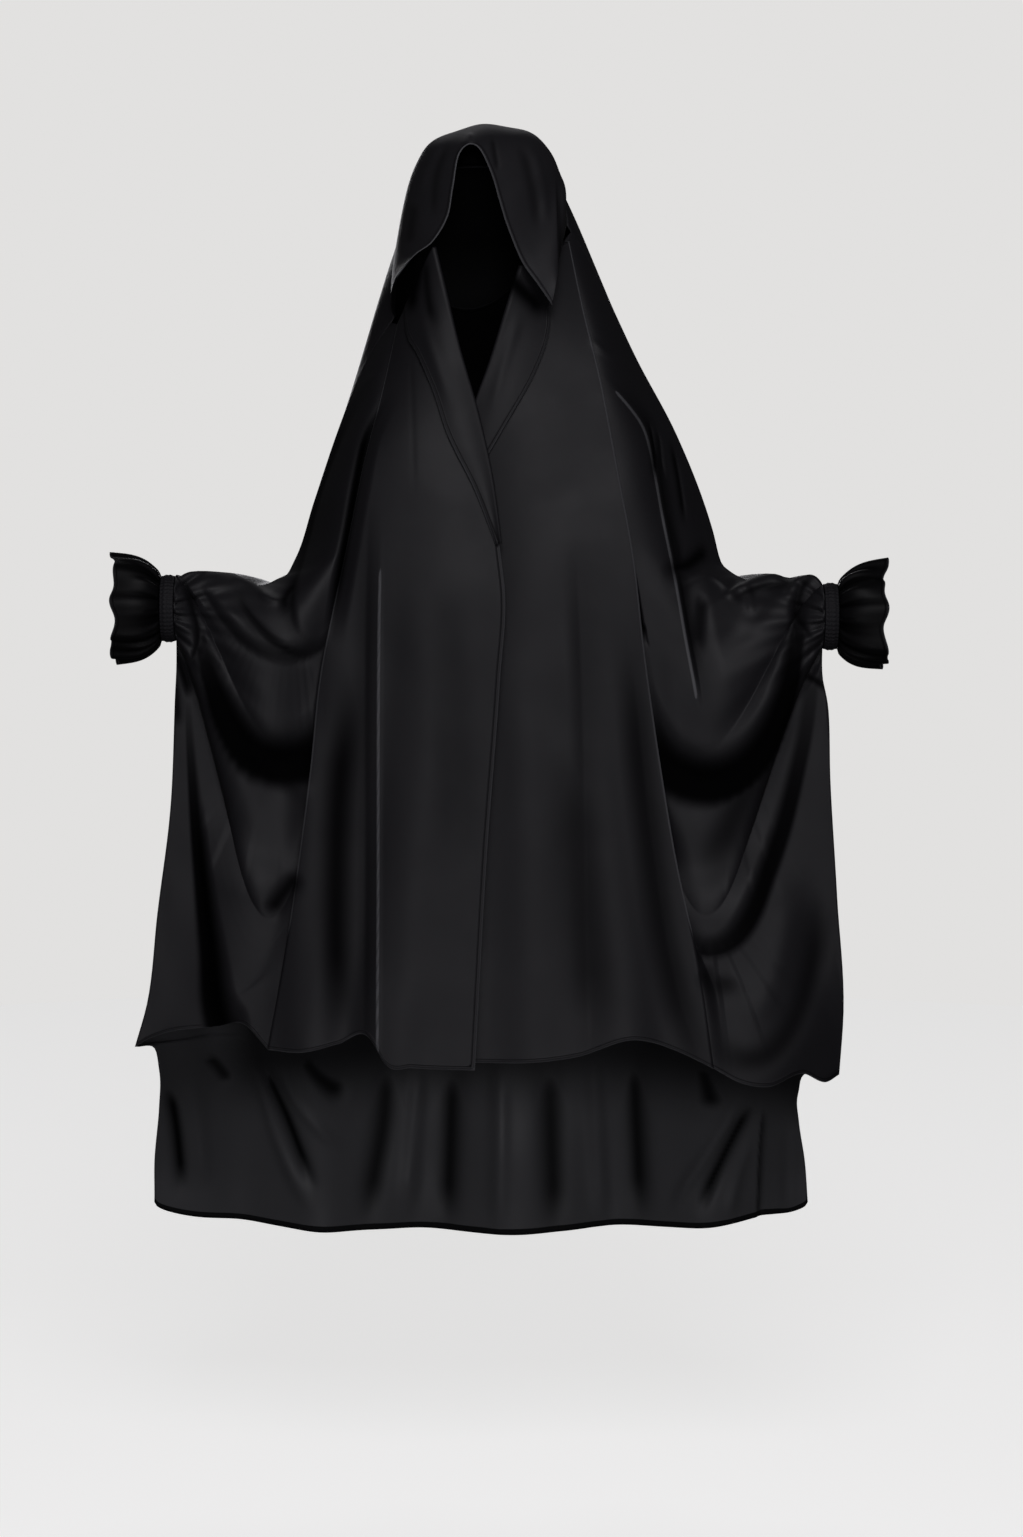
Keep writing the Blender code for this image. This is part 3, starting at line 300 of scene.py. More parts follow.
CREASES_RIGHT = (
    # shadow of the hood's hem, a fold beside it, the lapel's roll and the panel's dark valley
    ridge(0, 0.009, 0.92, (0.151, 0.136), (0.169, 0.152), (0.183, 0.171), (0.195, 0.191),
          (0.198, 0.214)),
    ridge(-0.0022, 0.0065, 0.7, (0.151, 0.14), (0.154, 0.164), (0.146, 0.195), (0.129, 0.227)),
    ridge(0.0014, 0.007, 0, (0.181, 0.185), (0.158, 0.227), (0.118, 0.268), (0.078, 0.31)),
    ridge(-0.007, 0.019, 0.8, (0.393, 0.99), (0.41, 0.914), (0.415, 0.828), (0.407, 0.721),
          (0.386, 0.646), (0.364, 0.572)),
    # the crisp pressed fold of the panel, dark on its outer side, and softer ones
    fall(0.006, 0.016, 0.05, 0.25, (0.294, 1.066), (0.293, 0.936), (0.291, 0.828), (0.29, 0.678),
         (0.288, 0.551), (0.284, 0.467), (0.281, 0.425), (0.275, 0.383)),
    ridge(0.0012, 0.003, 0, (0.294, 1.088), (0.293, 0.936), (0.291, 0.828), (0.29, 0.678),
          (0.288, 0.551), (0.284, 0.467), (0.281, 0.414)),
    ridge(0.004, 0.022, 0, (0.47, 0.615), (0.495, 0.721), (0.52, 0.828), (0.54, 0.936),
          (0.559, 1.034)),
    ridge(-0.0004, 0.0035, 0.1, (0.198, 0.242), (0.196, 0.278), (0.19, 0.335), (0.185, 0.404)),
    ridge(-0.003, 0.022, 0.15, (0.113, 0.467), (0.096, 0.551), (0.079, 0.636), (0.062, 0.721),
          (0.051, 0.807)),
    # pouch of the upper arm: dark within, and beyond its rim
    fall(0.014, 0.012, 0.02, 0.95, (0.274, 0.278), (0.326, 0.31), (0.361, 0.341), (0.388, 0.393),
         (0.418, 0.456), (0.445, 0.514), (0.463, 0.562)),
    fall(0.009, 0.008, 0.035, 0.5, (0.434, 0.559), (0.477, 0.551), (0.515, 0.533), (0.526, 0.505),
         (0.508, 0.467), (0.484, 0.43), (0.454, 0.393), (0.413, 0.353), (0.366, 0.318),
         (0.302, 0.283)),
    ridge(0.003, 0.005, 0, (0.273, 0.27), (0.325, 0.276), (0.366, 0.291), (0.395, 0.31)),
    # rim of the arm's top and wrinkles at its bend
    fall(0.007, 0.008, 0.02, 0.6, (0.469, 0.559), (0.521, 0.559), (0.573, 0.549), (0.631, 0.53),
         (0.677, 0.509), (0.7, 0.49)),
    ridge(0.005, 0.005, 0, (0.543, 0.505), (0.578, 0.509), (0.613, 0.507), (0.648, 0.498)),
    ridge(-0.006, 0.006, 0.8, (0.52, 0.493), (0.549, 0.498), (0.567, 0.511), (0.549, 0.521)),
    # small ridge within the first deep fall, and the notch beside the panel
    ridge(0.005, 0.01, 0, (0.7, 0.655), (0.672, 0.668), (0.61, 0.689), (0.553, 0.7), (0.501, 0.71),
          (0.47, 0.716)),
    ridge(-0.006, 0.01, 0.8, (0.62, 0.845), (0.601, 0.834), (0.572, 0.819), (0.538, 0.804),
          (0.51, 0.795)),
    # pleats and darts beside the wrist
    fall(0.006, 0.007, 0.012, 0.6, (0.895, 0.484), (0.878, 0.494), (0.851, 0.519), (0.834, 0.548),
         (0.852, 0.573), (0.87, 0.59)),
    ridge(-0.005, 0.005, 0.8, (0.915, 0.545), (0.897, 0.56), (0.875, 0.583), (0.859, 0.602),
          (0.85, 0.62)),
    ridge(-0.004, 0.006, 0.7, (0.905, 0.575), (0.895, 0.595), (0.888, 0.62), (0.884, 0.65)),
    ridge(0.003, 0.005, 0, (0.86, 0.485), (0.84, 0.5), (0.822, 0.525), (0.81, 0.55)),
)

# Creases of the back's inner face, seen below the front hem: the path is (across (left wing),
# down (back length)), positive to the wearer's left
CREASES_BACK = (
    # the wearer's right end of the hem
    ridge(-0.01, 0.0085, 0.95, (-0.909, 0.823), (-0.904, 0.855), (-0.903, 0.897), (-0.904, 0.93),
          (-0.908, 0.963)),
    ridge(0.007, 0.01, 0, (-0.844, 0.823), (-0.836, 0.878), (-0.839, 0.958)),
    ridge(0.008, 0.009, 0, (-0.676, 0.804), (-0.647, 0.851), (-0.618, 0.897), (-0.571, 0.939),
          (-0.503, 0.982)),
    ridge(-0.013, 0.0075, 0.96, (-0.652, 0.809), (-0.623, 0.846), (-0.582, 0.883), (-0.541, 0.921),
          (-0.494, 0.958)),
    ridge(0.007, 0.006, 0, (-0.595, 0.823), (-0.569, 0.851), (-0.534, 0.874), (-0.471, 0.897),
          (-0.412, 0.916)),
    ridge(-0.008, 0.02, 0.92, (-0.544, 0.809), (-0.491, 0.837), (-0.432, 0.855), (-0.378, 0.862)),
    ridge(-0.006, 0.012, 0.85, (-0.798, 0.804), (-0.766, 0.823), (-0.737, 0.846)),
    # middle
    ridge(-0.01, 0.015, 0.8, (-0.282, 0.813), (-0.294, 0.888), (-0.331, 0.953), (-0.35, 1)),
    ridge(0.009, 0.012, 0, (-0.186, 0.823), (-0.205, 0.897), (-0.236, 0.996)),
    ridge(-0.01, 0.014, 0.85, (-0.09, 0.823), (-0.097, 0.907), (-0.11, 1.005)),
    ridge(0.008, 0.012, 0, (0.053, 0.823), (0.053, 0.907), (0.047, 1.008)),
    ridge(-0.01, 0.016, 0.8, (0.197, 0.813), (0.209, 0.897), (0.221, 1.008)),
    ridge(0.008, 0.012, 0, (0.328, 0.813), (0.347, 0.907), (0.366, 1.006)),
    ridge(-0.01, 0.014, 0.85, (0.447, 0.804), (0.46, 0.878), (0.473, 0.944), (0.48, 1)),
    # the wearer's left end of the hem
    ridge(-0.006, 0.018, 0.9, (0.633, 0.813), (0.663, 0.846), (0.688, 0.874)),
    ridge(0.01, 0.007, 0, (0.765, 0.846), (0.718, 0.883), (0.659, 0.921), (0.605, 0.953),
          (0.57, 0.982)),
    ridge(-0.012, 0.008, 0.96, (0.807, 0.846), (0.766, 0.883), (0.719, 0.921), (0.678, 0.953),
          (0.648, 0.983)),
    ridge(0.006, 0.008, 0, (0.802, 0.897), (0.767, 0.935), (0.738, 0.986)),
    fall(0.008, 0.004, 0.022, 0.65, (0.826, 1.01), (0.825, 0.953), (0.82, 0.897), (0.816, 0.841)),
    ridge(0.008, 0.011, 0, (0.897, 0.86), (0.91, 0.907), (0.918, 0.953), (0.913, 0.991)),
)
# Long folds of the back's outer side, from the shoulders and arms down, in the same shares
REAR_FOLDS = (
    ridge(-0.01, 0.02, 0, (-0.66, 0.46), (-0.72, 0.6), (-0.78, 0.76), (-0.8, 0.9)),
    ridge(0.008, 0.015, 0, (-0.58, 0.42), (-0.61, 0.58), (-0.66, 0.74), (-0.68, 0.88)),
    ridge(-0.011, 0.022, 0, (-0.4, 0.26), (-0.46, 0.46), (-0.5, 0.68), (-0.52, 0.88)),
    ridge(0.008, 0.016, 0, (-0.3, 0.28), (-0.34, 0.5), (-0.37, 0.7), (-0.38, 0.88)),
    ridge(-0.01, 0.02, 0, (-0.16, 0.22), (-0.19, 0.45), (-0.21, 0.68), (-0.22, 0.9)),
    ridge(0.008, 0.015, 0, (-0.02, 0.3), (-0.05, 0.52), (-0.04, 0.72), (-0.03, 0.9)),
    ridge(-0.011, 0.022, 0, (0.12, 0.2), (0.13, 0.44), (0.16, 0.66), (0.17, 0.9)),
    ridge(0.008, 0.016, 0, (0.24, 0.28), (0.28, 0.5), (0.32, 0.7), (0.34, 0.88)),
    ridge(-0.011, 0.02, 0, (0.36, 0.24), (0.42, 0.46), (0.47, 0.68), (0.49, 0.88)),
    ridge(0.008, 0.015, 0, (0.54, 0.4), (0.58, 0.56), (0.62, 0.74), (0.64, 0.88)),
    ridge(-0.01, 0.018, 0, (0.64, 0.46), (0.7, 0.6), (0.75, 0.76), (0.77, 0.9)),
)
# Pleats and folds of the hood: the path is (across, down), both in head widths
CREASES_HOOD = (
    ridge(-0.0017, 0.0034, 0.55, (0.069, 0.101), (0.08, 0.176), (0.091, 0.246), (0.102, 0.316)),
    ridge(0.0012, 0.0039, 0, (-0.04, 0.08), (-0.061, 0.123), (-0.089, 0.176)),
    ridge(0.0017, 0.0059, 0, (-0.181, 0.123), (-0.247, 0.209), (-0.296, 0.311), (-0.329, 0.445)),
    ridge(-0.0014, 0.0052, 0.39, (-0.149, 0.123), (-0.192, 0.209), (-0.231, 0.316), (-0.247, 0.445),
          (-0.259, 0.58)),
    ridge(-0.0017, 0.0059, 0.39, (0.2, 0.123), (0.244, 0.209), (0.276, 0.327), (0.304, 0.472),
          (0.32, 0.634)),
    ridge(0.0017, 0.0059, 0, (0.254, 0.123), (0.309, 0.23), (0.347, 0.391), (0.364, 0.607)),
    fall(0.0028, 0.0039, 0.012, 0.6, (0.425, 1.051), (0.424, 0.877), (0.419, 0.661), (0.413, 0.445),
         (0.402, 0.284)),
    ridge(-0.0017, 0.0065, 0.42, (-0.357, 0.445), (-0.373, 0.58), (-0.39, 0.715)),
)

# Uneven rises of the arm's top edge: across (wing), rise in metres
PUCKERS_LEFT = (
    (0.64, 0), (0.68, 0.0035), (0.715, -0.0015), (0.745, -0.0045), (0.775, 0.003),
    (0.805, 0.0035), (0.85, -0.002), (0.885, 0.004), (0.915, 0), (1.1, 0),
)
PUCKERS_RIGHT = (
    (0.54, 0), (0.59, 0.003), (0.64, -0.0035), (0.68, -0.003), (0.71, 0.0035), (0.76, 0.005),
    (0.82, 0.002), (0.86, -0.0015), (0.875, 0.003), (0.9, 0), (1.1, 0),
)

# Pressed edges with a painted highlight along them, by their path: (across (wing), down (front
# length))
PRESSED_LEFT = (
    (0.325, 0.272), (0.381, 0.294), (0.438, 0.322), (0.462, 0.347), (0.479, 0.382),
    (0.498, 0.425), (0.526, 0.481), (0.554, 0.544), (0.582, 0.602), (0.590, 0.627),
)
PRESSED_RIGHT = (
    (0.284, 0.435), (0.284, 0.467), (0.288, 0.551), (0.290, 0.678), (0.291, 0.828),
    (0.293, 0.936), (0.294, 1.066),
)

# Shares and powers of the shapes
PANEL_BULGE = 0.05
BULGE_TOP = 0.3
WRIST_TOP = 0.60
WRIST_FOOT = 0.66
WRIST_LEAD = 0.08
WRIST_LEAVE = 0.05
ARM_STARTS = (0.40, 0.43)
ARM_ENDS = (0.58, 0.60)
LAPEL_ROLL = 0.3
LAPEL_FULLNESS = 0.6
LAPEL_THINS = 0.5
SHOULDER_POWER = 2.0
SLEEVE_POWER = 1.3
SHOULDER_FOOT = 0.28
SLEEVE_TOP = 0.45
SWAG_POWER = 1.6
FALL_RECOVERY = 0.13
FALL_SEAM = 0.12
FALL_LIMIT = 3
FALL_SHARP = 1.8
JOIN_START = 0.84
JOIN_END = 0.93
JOINED = 0.94
HEM_SHARE = 0.75
HEM_SHARE_WING = 0.86
BACK_ROUND = 0.8
SAG_START = 0.25
TAIL_ROUND = 0.5
FOLD_FADE = 0.3
CORNER = 1.00
TAIL_END = 1.25
ELASTIC_SWELL = 0.05
BAND_REACH = 0.5
BAND_SEAM = 0.25
THROAT_EVEN = 0.6
# Throat panel: its seats across the two panels and its length down them
THROAT_SEAT_LEFT = 3 / 11
THROAT_SEAT_RIGHT = 5 / 11
THROAT_SHARE = 4 / 18
# Where a wing meets its panel's return: reach over it and seat on it, in metres
JOIN_REACH = 0.0008
JOIN_SEAT = 0.0010

# Creases: points of the smooth line between two rows of a path or a rim, share of a path over
# which its ends fade, and where a fall's hollow is fully dark and light again
PATH_POINTS = 6
RIM_POINTS = 4
CREASE_FADE = 0.28
DARK_BY = 0.8
LIGHT_BY = 0.5
# Deep falls: where the lost light starts, is full and ends past the rim (widths), the depth that
# loses all of it (front stand) and the share that it loses
HOLLOW_START = 0.05
HOLLOW_FULL = 0.60
HOLLOW_END = 0.30
HOLLOW_DEPTH = 0.22
HOLLOW_LOSS = 0.92
# Shade on the back's inner face close behind the front hem: down (back length), share lost; it is
# weaker by a share towards the lit end (across, right wing)
HEM_SHADE = (0.815, 0.895)
HEM_SHADE_LOSS = 0.80
LIT_END = (0.70, 0.85)
LIT_END_GAIN = 0.6
# Where creases and wrinkles come in and die out: places on the sheets, and for the hood's front
# the depth in metres
FRONT_FREE = (0.02, 0.10)
WING_FREE = (0.0, 0.05)
WING_SEAM = (0.90, 1.0)
WRIST_SEAM = (0.985, 1.0)
BACK_FREE = (0.0, 0.06)
BACK_SEAM = (0.93, 1.0)
BACK_HEM_FREE = (0.92, 1.05)
BACK_HEM_SEAM = (0.97, 1.0)
REAR_SEAM = (0.80, 0.95)
HOOD_FREE = (0.0, 0.06)
HOOD_SEAM = (0.8, 1.0)
HOOD_FRONT = (-0.045, -0.020)
# Small wrinkles: waves of the front view as (across, down, bend, bend's across, bend's down,
# bend's turn) and their shares, then size and depth in metres on each kind of sheet
WAVES = (
    (1.9, 0.7, 1.3, 0.0, 0.8, 0.0),
    (-0.9, 1.3, 0.9, 1.1, 0.0, 2.0),
    (3.1, 0.4, 1.7, 0.0, 0.5, 1.0),
)
WAVE_SHARES = (0.5, 0.4, 0.3)
FRONT_WRINKLES = (0.045, 0.0008)
WING_WRINKLES = (0.040, 0.0010)
BACK_WRINKLES = (0.06, 0.0022)
HOOD_WRINKLES = (0.030, 0.0006)
# Pleats that fan inwards from the wrist: waves, depth and reach in metres, flatness of the fan,
# distance of its centre behind the band, then (share, waves, turn)
GATHER_WAVES = 15
GATHER_DEPTH = 0.005
GATHER_REACH = 0.055
GATHER_FLAT = 0.8
GATHER_CENTRE = 0.035
GATHERS = ((1.0, 1.0, 0.7), (0.5, 2.3, 2.1))
# Ruffle: how quickly it opens, then lobes (share, count, turn, turn by side), uneven reach
# (share, count, turn), and its fine gathers beside the band and its pleats: share and fade along
# the ruffle, how many there are, and the bends that make them uneven (share, count, turn)
RUFFLE_QUICK = 3.5
LOBES = ((0.11, 2, 0.5, 1), (0.13, 3, 1.1, 0), (0.09, 5, 2.3, -1), (0.06, 9, 0.4, 0))
LOBE_POWER = 1.2
REACHES = ((0.04, 2, 0.6), (0.04, 5, 0.0), (0.03, 9, 0.0))
REACH_MEAN = 0.92
RUFFLE_GATHER = (0.05, 0.20)
GATHER_COUNT = 34
GATHER_BENDS = ((1.5, 3, 0.0),)
RUFFLE_PLEAT = (0.10, 0.75)
PLEAT_COUNT = 13
PLEAT_BENDS = ((1.8, 2, 0.7), (0.9, 5, 0.0))
RUFFLE_FREE = (0.0, 0.06)
TROUGH = (0.1, 0.9)
TROUGH_LOSS = 0.92
TROUGH_REACH = 0.70
# Wrist bands: ribs round the band, rows of elastic across it and how far each draws in
RIBS = 46
RIB_LEAN = 1.2
ELASTIC_ROWS = 3
RIB_DEPTH = 0.014
ROW_DEPTH = 0.010
# How far from a pressed edge its painted highlight has gone where the edge ends, in metres
HIGHLIGHT_ENDS = 0.01
HIGHLIGHT_START = (0.0, 0.08)
HIGHLIGHT_STOP = (0.95, 1.0)

# Colours, linear
CLOTH_SHADE = (0.0130, 0.0122, 0.0150)
# painted shade: the ruffles darker than the cloth
RUFFLE_PAINTED_SHADE = (0.0028, 0.0026, 0.0032)
# painted light: the hood lighter than the cloth, for light that its slope turns away
HOOD_PAINTED_LIGHT = (0.0185, 0.0175, 0.0210)
# painted light: the back's inner face much lighter than the cloth, for light that the front hem
# keeps from it
INNER_PAINTED_LIGHT = (0.0950, 0.0950, 0.1020)
# forehead band and throat: a matte inner crepe in gloss, painted near-black for the shade of the
# absent head
DULL_PAINTED_SHADE = (0.0006, 0.0006, 0.0007)
# painted shade: near-black of hollows, creases, troughs and stitch grooves, also of the darker hem
# band
HOLLOW_SHADE = (0.0004, 0.0004, 0.0005, 1.0)
# painted highlight along pressed edges and hems
EDGE_PAINTED_HIGHLIGHT = (0.130, 0.130, 0.140, 1.0)
# Cloth: noises as (scale, detail, roughness), bumps as (strength, distance), painted highlights
# of edges as (from, to, share at from), the stitches' dash as (from, to, value at from, value at
# to)
WEAVE = (1500.0, 3.0, 0.7)
WEAVE_SPREAD = 0.2
WEAVE_BUMP = (0.30, 0.0004)
SOFT = (14.0, 4.0, 0.5)
SOFT_BUMP = (0.12, 0.003)
SOFT_RANGE = (0.3, 0.7)
GLOSS_SPREAD = 0.03
HOLLOW_ROUGHER = 0.3
FOLD_PAINTED_HIGHLIGHT = (0.0008, 0.0024, 0.8)
HEM_PAINTED_HIGHLIGHT = (0.0008, 0.0020, 0.7)
HEM_WIDTH = 0.0056
HEM_BUMP = (1.0, 0.0005)
HEM_ROUND = 0.0018
HEM_STEP = (-0.0008, 0.0006)
HEM_BAND = 0.0085
HEM_BAND_EDGE = 0.0012
HEM_BAND_LOSS = 0.85
STITCH = 0.0032
STITCH_ROW = 0.0045
STITCH_GROOVE = 0.0012
STITCH_LOSS = 0.55
STITCH_DASH = (0.25, 0.40, 0.6, 0.3)
# Painted shade on the back's inner face far from its hem, round the nape seen through the hood:
# where it starts and is full (hem distance), a reach that no sheet has, and the share of light lost
INNER_PAINTED_SHADE = (0.70, 1.05)
INNER_NEVER = (8.0, 9.0)
INNER_LOSS = 0.97
# Materials: name, roughness, specular level, shade, where its painted shade starts and is full (hem
# distance), the attribute of painted shade that it reads, its darker hem band and how much painted
# highlight its edges get
SATINS = {
    "cloth": ("black_satin_crepe", 0.58, 0.42, CLOTH_SHADE),
    "inner": ("black_satin_inner", 0.45, 0.5, INNER_PAINTED_LIGHT, INNER_PAINTED_SHADE, "inner_hollow", HEM_BAND),
    "dull": ("black_inner_crepe", 0.90, 0.03, DULL_PAINTED_SHADE, INNER_NEVER, "hollow", 0.0, 0.12),
    "ruffle": ("black_satin_ruffle", 0.50, 0.18, RUFFLE_PAINTED_SHADE),
    "hood": ("black_satin_hood", 0.60, 0.50, HOOD_PAINTED_LIGHT),
    "shirring": ("black_shirring", 0.65, 0.25, CLOTH_SHADE),
}

# Camera
FOCAL_PIXELS = 3118
IMAGE_HEIGHT = 1537
SENSOR = 36.0
CAMERA_PLACE = (0.040, -4.0, -0.42)
CAMERA_TURN = (math.radians(90 - 5.7), 0.0, 0.0)
# Studio: air and backdrop strength, the floor's level, reach, grid and glow
AIR = 0.02
PALE = 0.76
PALE_SHADE = (1.0, 0.99, 0.98, 1.0)
FLOOR = -1.80
FLOOR_REACH = 4.0
FLOOR_GRID = (96, 12)
FLOOR_START = 0.02
FLOOR_PAINT = (0.80, 0.80, 0.80, 1.0)
FLOOR_ROUGHNESS = 0.95
FLOOR_SHADE = (1.0, 0.995, 0.99, 1.0)
FLOOR_GLOW = 0.70
# Lights: name, place, size, aim, power; the broad rear light falls on the rear sheets alone
LAMP_SHADE = (0.975, 0.965, 1.0)
LIGHTS = (
    ("front_high", (0.25, -3.2, 1.75), (1.6, 1.2), (0.0, 0.0, -0.70), 36.5),
    ("front_low", (0.15, -4.3, -0.45), (1.0, 0.8), (0.0, 0.0, -0.90), 12.5),
    ("rear_high", (0.0, 3.4, 1.9), (1.6, 1.0), (0.0, 0.0, -0.7), 8.0),
    ("rear_broad", (-0.5, 3.9, 0.1), (2.2, 1.6), (0.0, 0.0, -0.80), 60.0),
    ("hem_low", (0.0, -1.5, -1.70), (1.4, 0.3), (0.0, 0.25, -1.36), 3.5),
)
REAR_SHEETS = ("back_panel", "hood", "wrist_elastic_left", "wrist_elastic_right",
               "cuff_ruffle_left", "cuff_ruffle_right")

# Cut size of each sheet before it was sewn and hung (width, length), how it is held, and the
# sheet that it hangs from
CUTS = {
    "hood": ((0.52, 0.14), "hung", "back_panel"),
    "forehead_band": ((0.2, 0.04), "hung", "hood"),
    "throat_panel": ((0.16, 0.2), "hung", "front_panel_left"),
    "back_panel": ((0.98, 1.55), "hung", "hood"),
    "front_panel_left": ((0.26, 1.03), "hung", "hood"),
    "front_panel_right": ((0.24, 0.96), "hung", "hood"),
    "wing_left": ((0.34, 0.9), "hung", "front_panel_left"),
    "wing_right": ((0.3, 0.8), "hung", "front_panel_right"),
    "lapel_left": ((0.06, 0.33), "hung", "front_panel_left"),
    "lapel_right": ((0.06, 0.37), "hung", "front_panel_right"),
    "wrist_elastic_left": ((0.25, 0.018), "gathered", "wing_left"),
    "wrist_elastic_right": ((0.25, 0.018), "gathered", "wing_right"),
    "cuff_ruffle_left": ((0.4, 0.066), "gathered", "wrist_elastic_left"),
    "cuff_ruffle_right": ((0.4, 0.066), "gathered", "wrist_elastic_right"),
}
# Grid of each sheet: places across, places along
HOOD_GRID = (301, 101)
BAND_GRID = (81, 15)
THROAT_GRID = (81, 41)
BACK_GRID = (241, 131)
TAIL_GRID = 46
PANEL_GRID = (96, 241)
RETURN_PLACES = (1.25, 1.5, 1.75, 2.0)
WING_GRID = (141, 271)
ROLL_GRID = 9
LAPEL_GRID = (33, 141)
ELASTIC_GRID = (276, 13)
RUFFLE_GRID = (272, 41)


def follow(table, place):
    """Smooth curve through a table: cubic pieces whose slopes are the rows' central differences."""
    rows = np.array(table, float)
    knots, values = rows[:, 0], rows[:, 1:]
    slopes = np.gradient(values, knots, axis=0)
    place = np.clip(np.asarray(place, float), knots[0], knots[-1])
    low = np.clip(np.searchsorted(knots, place, side="right") - 1, 0, len(knots) - 2)
    span = knots[low + 1] - knots[low]
    t = ((place - knots[low]) / span)[..., None]
    span = span[..., None]
    start, end = values[low], values[low + 1]
    return (start * (1 + 2 * t) * (1 - t) ** 2 + end * t ** 2 * (3 - 2 * t)
            + slopes[low] * span * t * (1 - t) ** 2 - slopes[low + 1] * span * t ** 2 * (1 - t))


def smooth_step(value, start, end):
    """Rise from 0 to 1 between start and end, level at both."""
    t = np.clip((value - start) / (end - start), 0.0, 1.0)
    return t * t * (3 - 2 * t)


def window(value, rise, drop):
    """Smooth rise from 0 to 1 between the two ends of rise, and back to 0 between those of drop."""
    return smooth_step(value, *rise) * (1 - smooth_step(value, *drop))


def blend(first, second, share):
    """Straight mix of two arrays of points."""
    return first + (second - first) * share[..., None]


def points(x, y, z):
    """Stack three arrays of coordinates."""
    return np.stack(np.broadcast_arrays(x, y, z), axis=-1)


@dataclass
class Side:
    """One half of the garment: its direction across, its width and its tables."""
    name: str
    sign: int
    width: float
    edge_rows: tuple
    fold_rows: tuple
    opening_rows: tuple
    lapel_rows: tuple
    hem_panel: tuple
    hem_wing: tuple
    folds: tuple
    swags: tuple
    falls: tuple
    creases: tuple
    pressed: tuple
    puckers: tuple

    def __post_init__(self):
        top, foot = follow(self.edge_rows, WRIST_TOP), follow(self.edge_rows, WRIST_FOOT)
        self.wrist = np.array((self.sign * top[0] * self.width, -top[1] * FRONT_STAND,
                               -(top[2] + foot[2]) / 2 * FRONT_LENGTH))

    def place(self, across, forward, down):
        """Point from shares of the wing, the front stand and the front length."""
        return points(self.sign * across * self.width, -forward * FRONT_STAND,
                      -down * FRONT_LENGTH)

    def seen(self, sheet):
        """Places of a sheet in the front view: across towards this side, and down, in metres."""
        return self.sign * sheet[..., 0], -sheet[..., 2]

    def ring(self, reach, swell, angle):
        """The wrist's oval, its size times swell, carried outwards by reach; angle 0 is its top
        and a quarter turn its front."""
        return points(self.wrist[0] + self.sign * reach,
                      self.wrist[1] - WRIST_DEPTH / 2 * swell * np.sin(angle),
                      self.wrist[2] + WRIST_HEIGHT / 2 * swell * np.cos(angle))

    def side_edge(self, place, facing):
        """Side edge of the front (-1) or rear (+1) sheet at a place, with the wrist's half ring
        let in between its top and foot, and the arm's top edge uneven."""
        values = follow(self.edge_rows, place)
        line = self.place(values[..., 0], values[..., 1], values[..., 2])
        turn = np.clip((place - WRIST_TOP) / (WRIST_FOOT - WRIST_TOP), 0.0, 1.0)
        ring = self.ring(0.0, 1.0, -facing * math.pi * turn)
        near = window(place, (WRIST_TOP - WRIST_LEAD, WRIST_TOP),
                      (WRIST_FOOT, WRIST_FOOT + WRIST_LEAVE))
        edge = blend(line, ring, near)
        edge[..., 1] += facing * EDGE_APART / 2
        uneven = follow(self.puckers, values[..., 0])[..., 0]
        edge[..., 2] += uneven * window(place, ARM_STARTS, ARM_ENDS)
        return edge

    def tail(self, place):
        """Free side edge of the back, below the front corner."""
        values = follow(TAIL, place)
        across = self.sign * self.width * (values[..., 0] if self.sign > 0 else values[..., 1])
        return points(across, values[..., 2] * BACK_STAND, -values[..., 3] * BACK_LENGTH)

    def fold(self, down):
        """Fold between front panel and wing."""
        values = follow(self.fold_rows, down)
        return self.place(values[..., 0], values[..., 1], down)

    def opening(self, down):
        """Front edge of the panel."""
        values = follow(self.opening_rows, down)
        return self.place(values[..., 0], values[..., 1], down)


LEFT = Side("left", 1, WING_LEFT, EDGE_LEFT, FOLD_LEFT, OPENING_LEFT, LAPEL_LEFT, HEM_PANEL_LEFT,
            HEM_WING_LEFT, FOLDS_PANEL_LEFT, SWAGS_LEFT, FALLS_LEFT, CREASES_LEFT, PRESSED_LEFT,
            PUCKERS_LEFT)
RIGHT = Side("right", -1, WING_RIGHT, EDGE_RIGHT, FOLD_RIGHT, OPENING_RIGHT, LAPEL_RIGHT,
             HEM_PANEL_RIGHT, HEM_WING_RIGHT, FOLDS_PANEL_RIGHT, SWAGS_RIGHT, FALLS_RIGHT,
             CREASES_RIGHT, PRESSED_RIGHT, PUCKERS_RIGHT)


def front_panel(side, u, v):
    """Front panel: u runs from the opening to the fold and past 1 into the return behind it,
    v runs from the top down to the hem. Each point lies on the straight line between the two,
    pushed forward by a broad bulge and by bells for the long folds."""
    top_inner, end_inner = side.opening_rows[0][0], side.opening_rows[-1][0]
    top_outer, end_outer = side.fold_rows[0][0], side.fold_rows[-1][0]
    inner = side.opening(top_inner + (end_inner - top_inner) * v)
    outer = side.fold(top_outer + (end_outer - top_outer) * v)
    across = np.clip(u, 0.0, 1.0)
    sheet = blend(inner, outer, across)
    down = -sheet[..., 2] / FRONT_LENGTH
    bulge = PANEL_BULGE * np.sin(math.pi * across) * smooth_step(v, 0.0, BULGE_TOP)
    for centre, half, rise, start in side.folds:
        shape = np.exp(-((across - centre) / half) ** 2)
        bulge = bulge + rise * shape * smooth_step(down, start, 1.0)
    sheet[..., 1] -= bulge * FRONT_STAND
    drop = follow(side.hem_panel, across)[..., 0]
    sheet[..., 2] -= drop * FRONT_LENGTH * smooth_step(v, HEM_SHARE, 1.0)
    back = np.clip(u - 1.0, 0.0, 1.0)
    kept = 1 - JOINED * smooth_step(down, JOIN_START, JOIN_END)
    sheet[..., 0] -= side.sign * PANEL_RETURN * back * kept
    sheet[..., 1] += PANEL_TUCK * np.sin(back * math.pi / 2) * kept
    return sheet


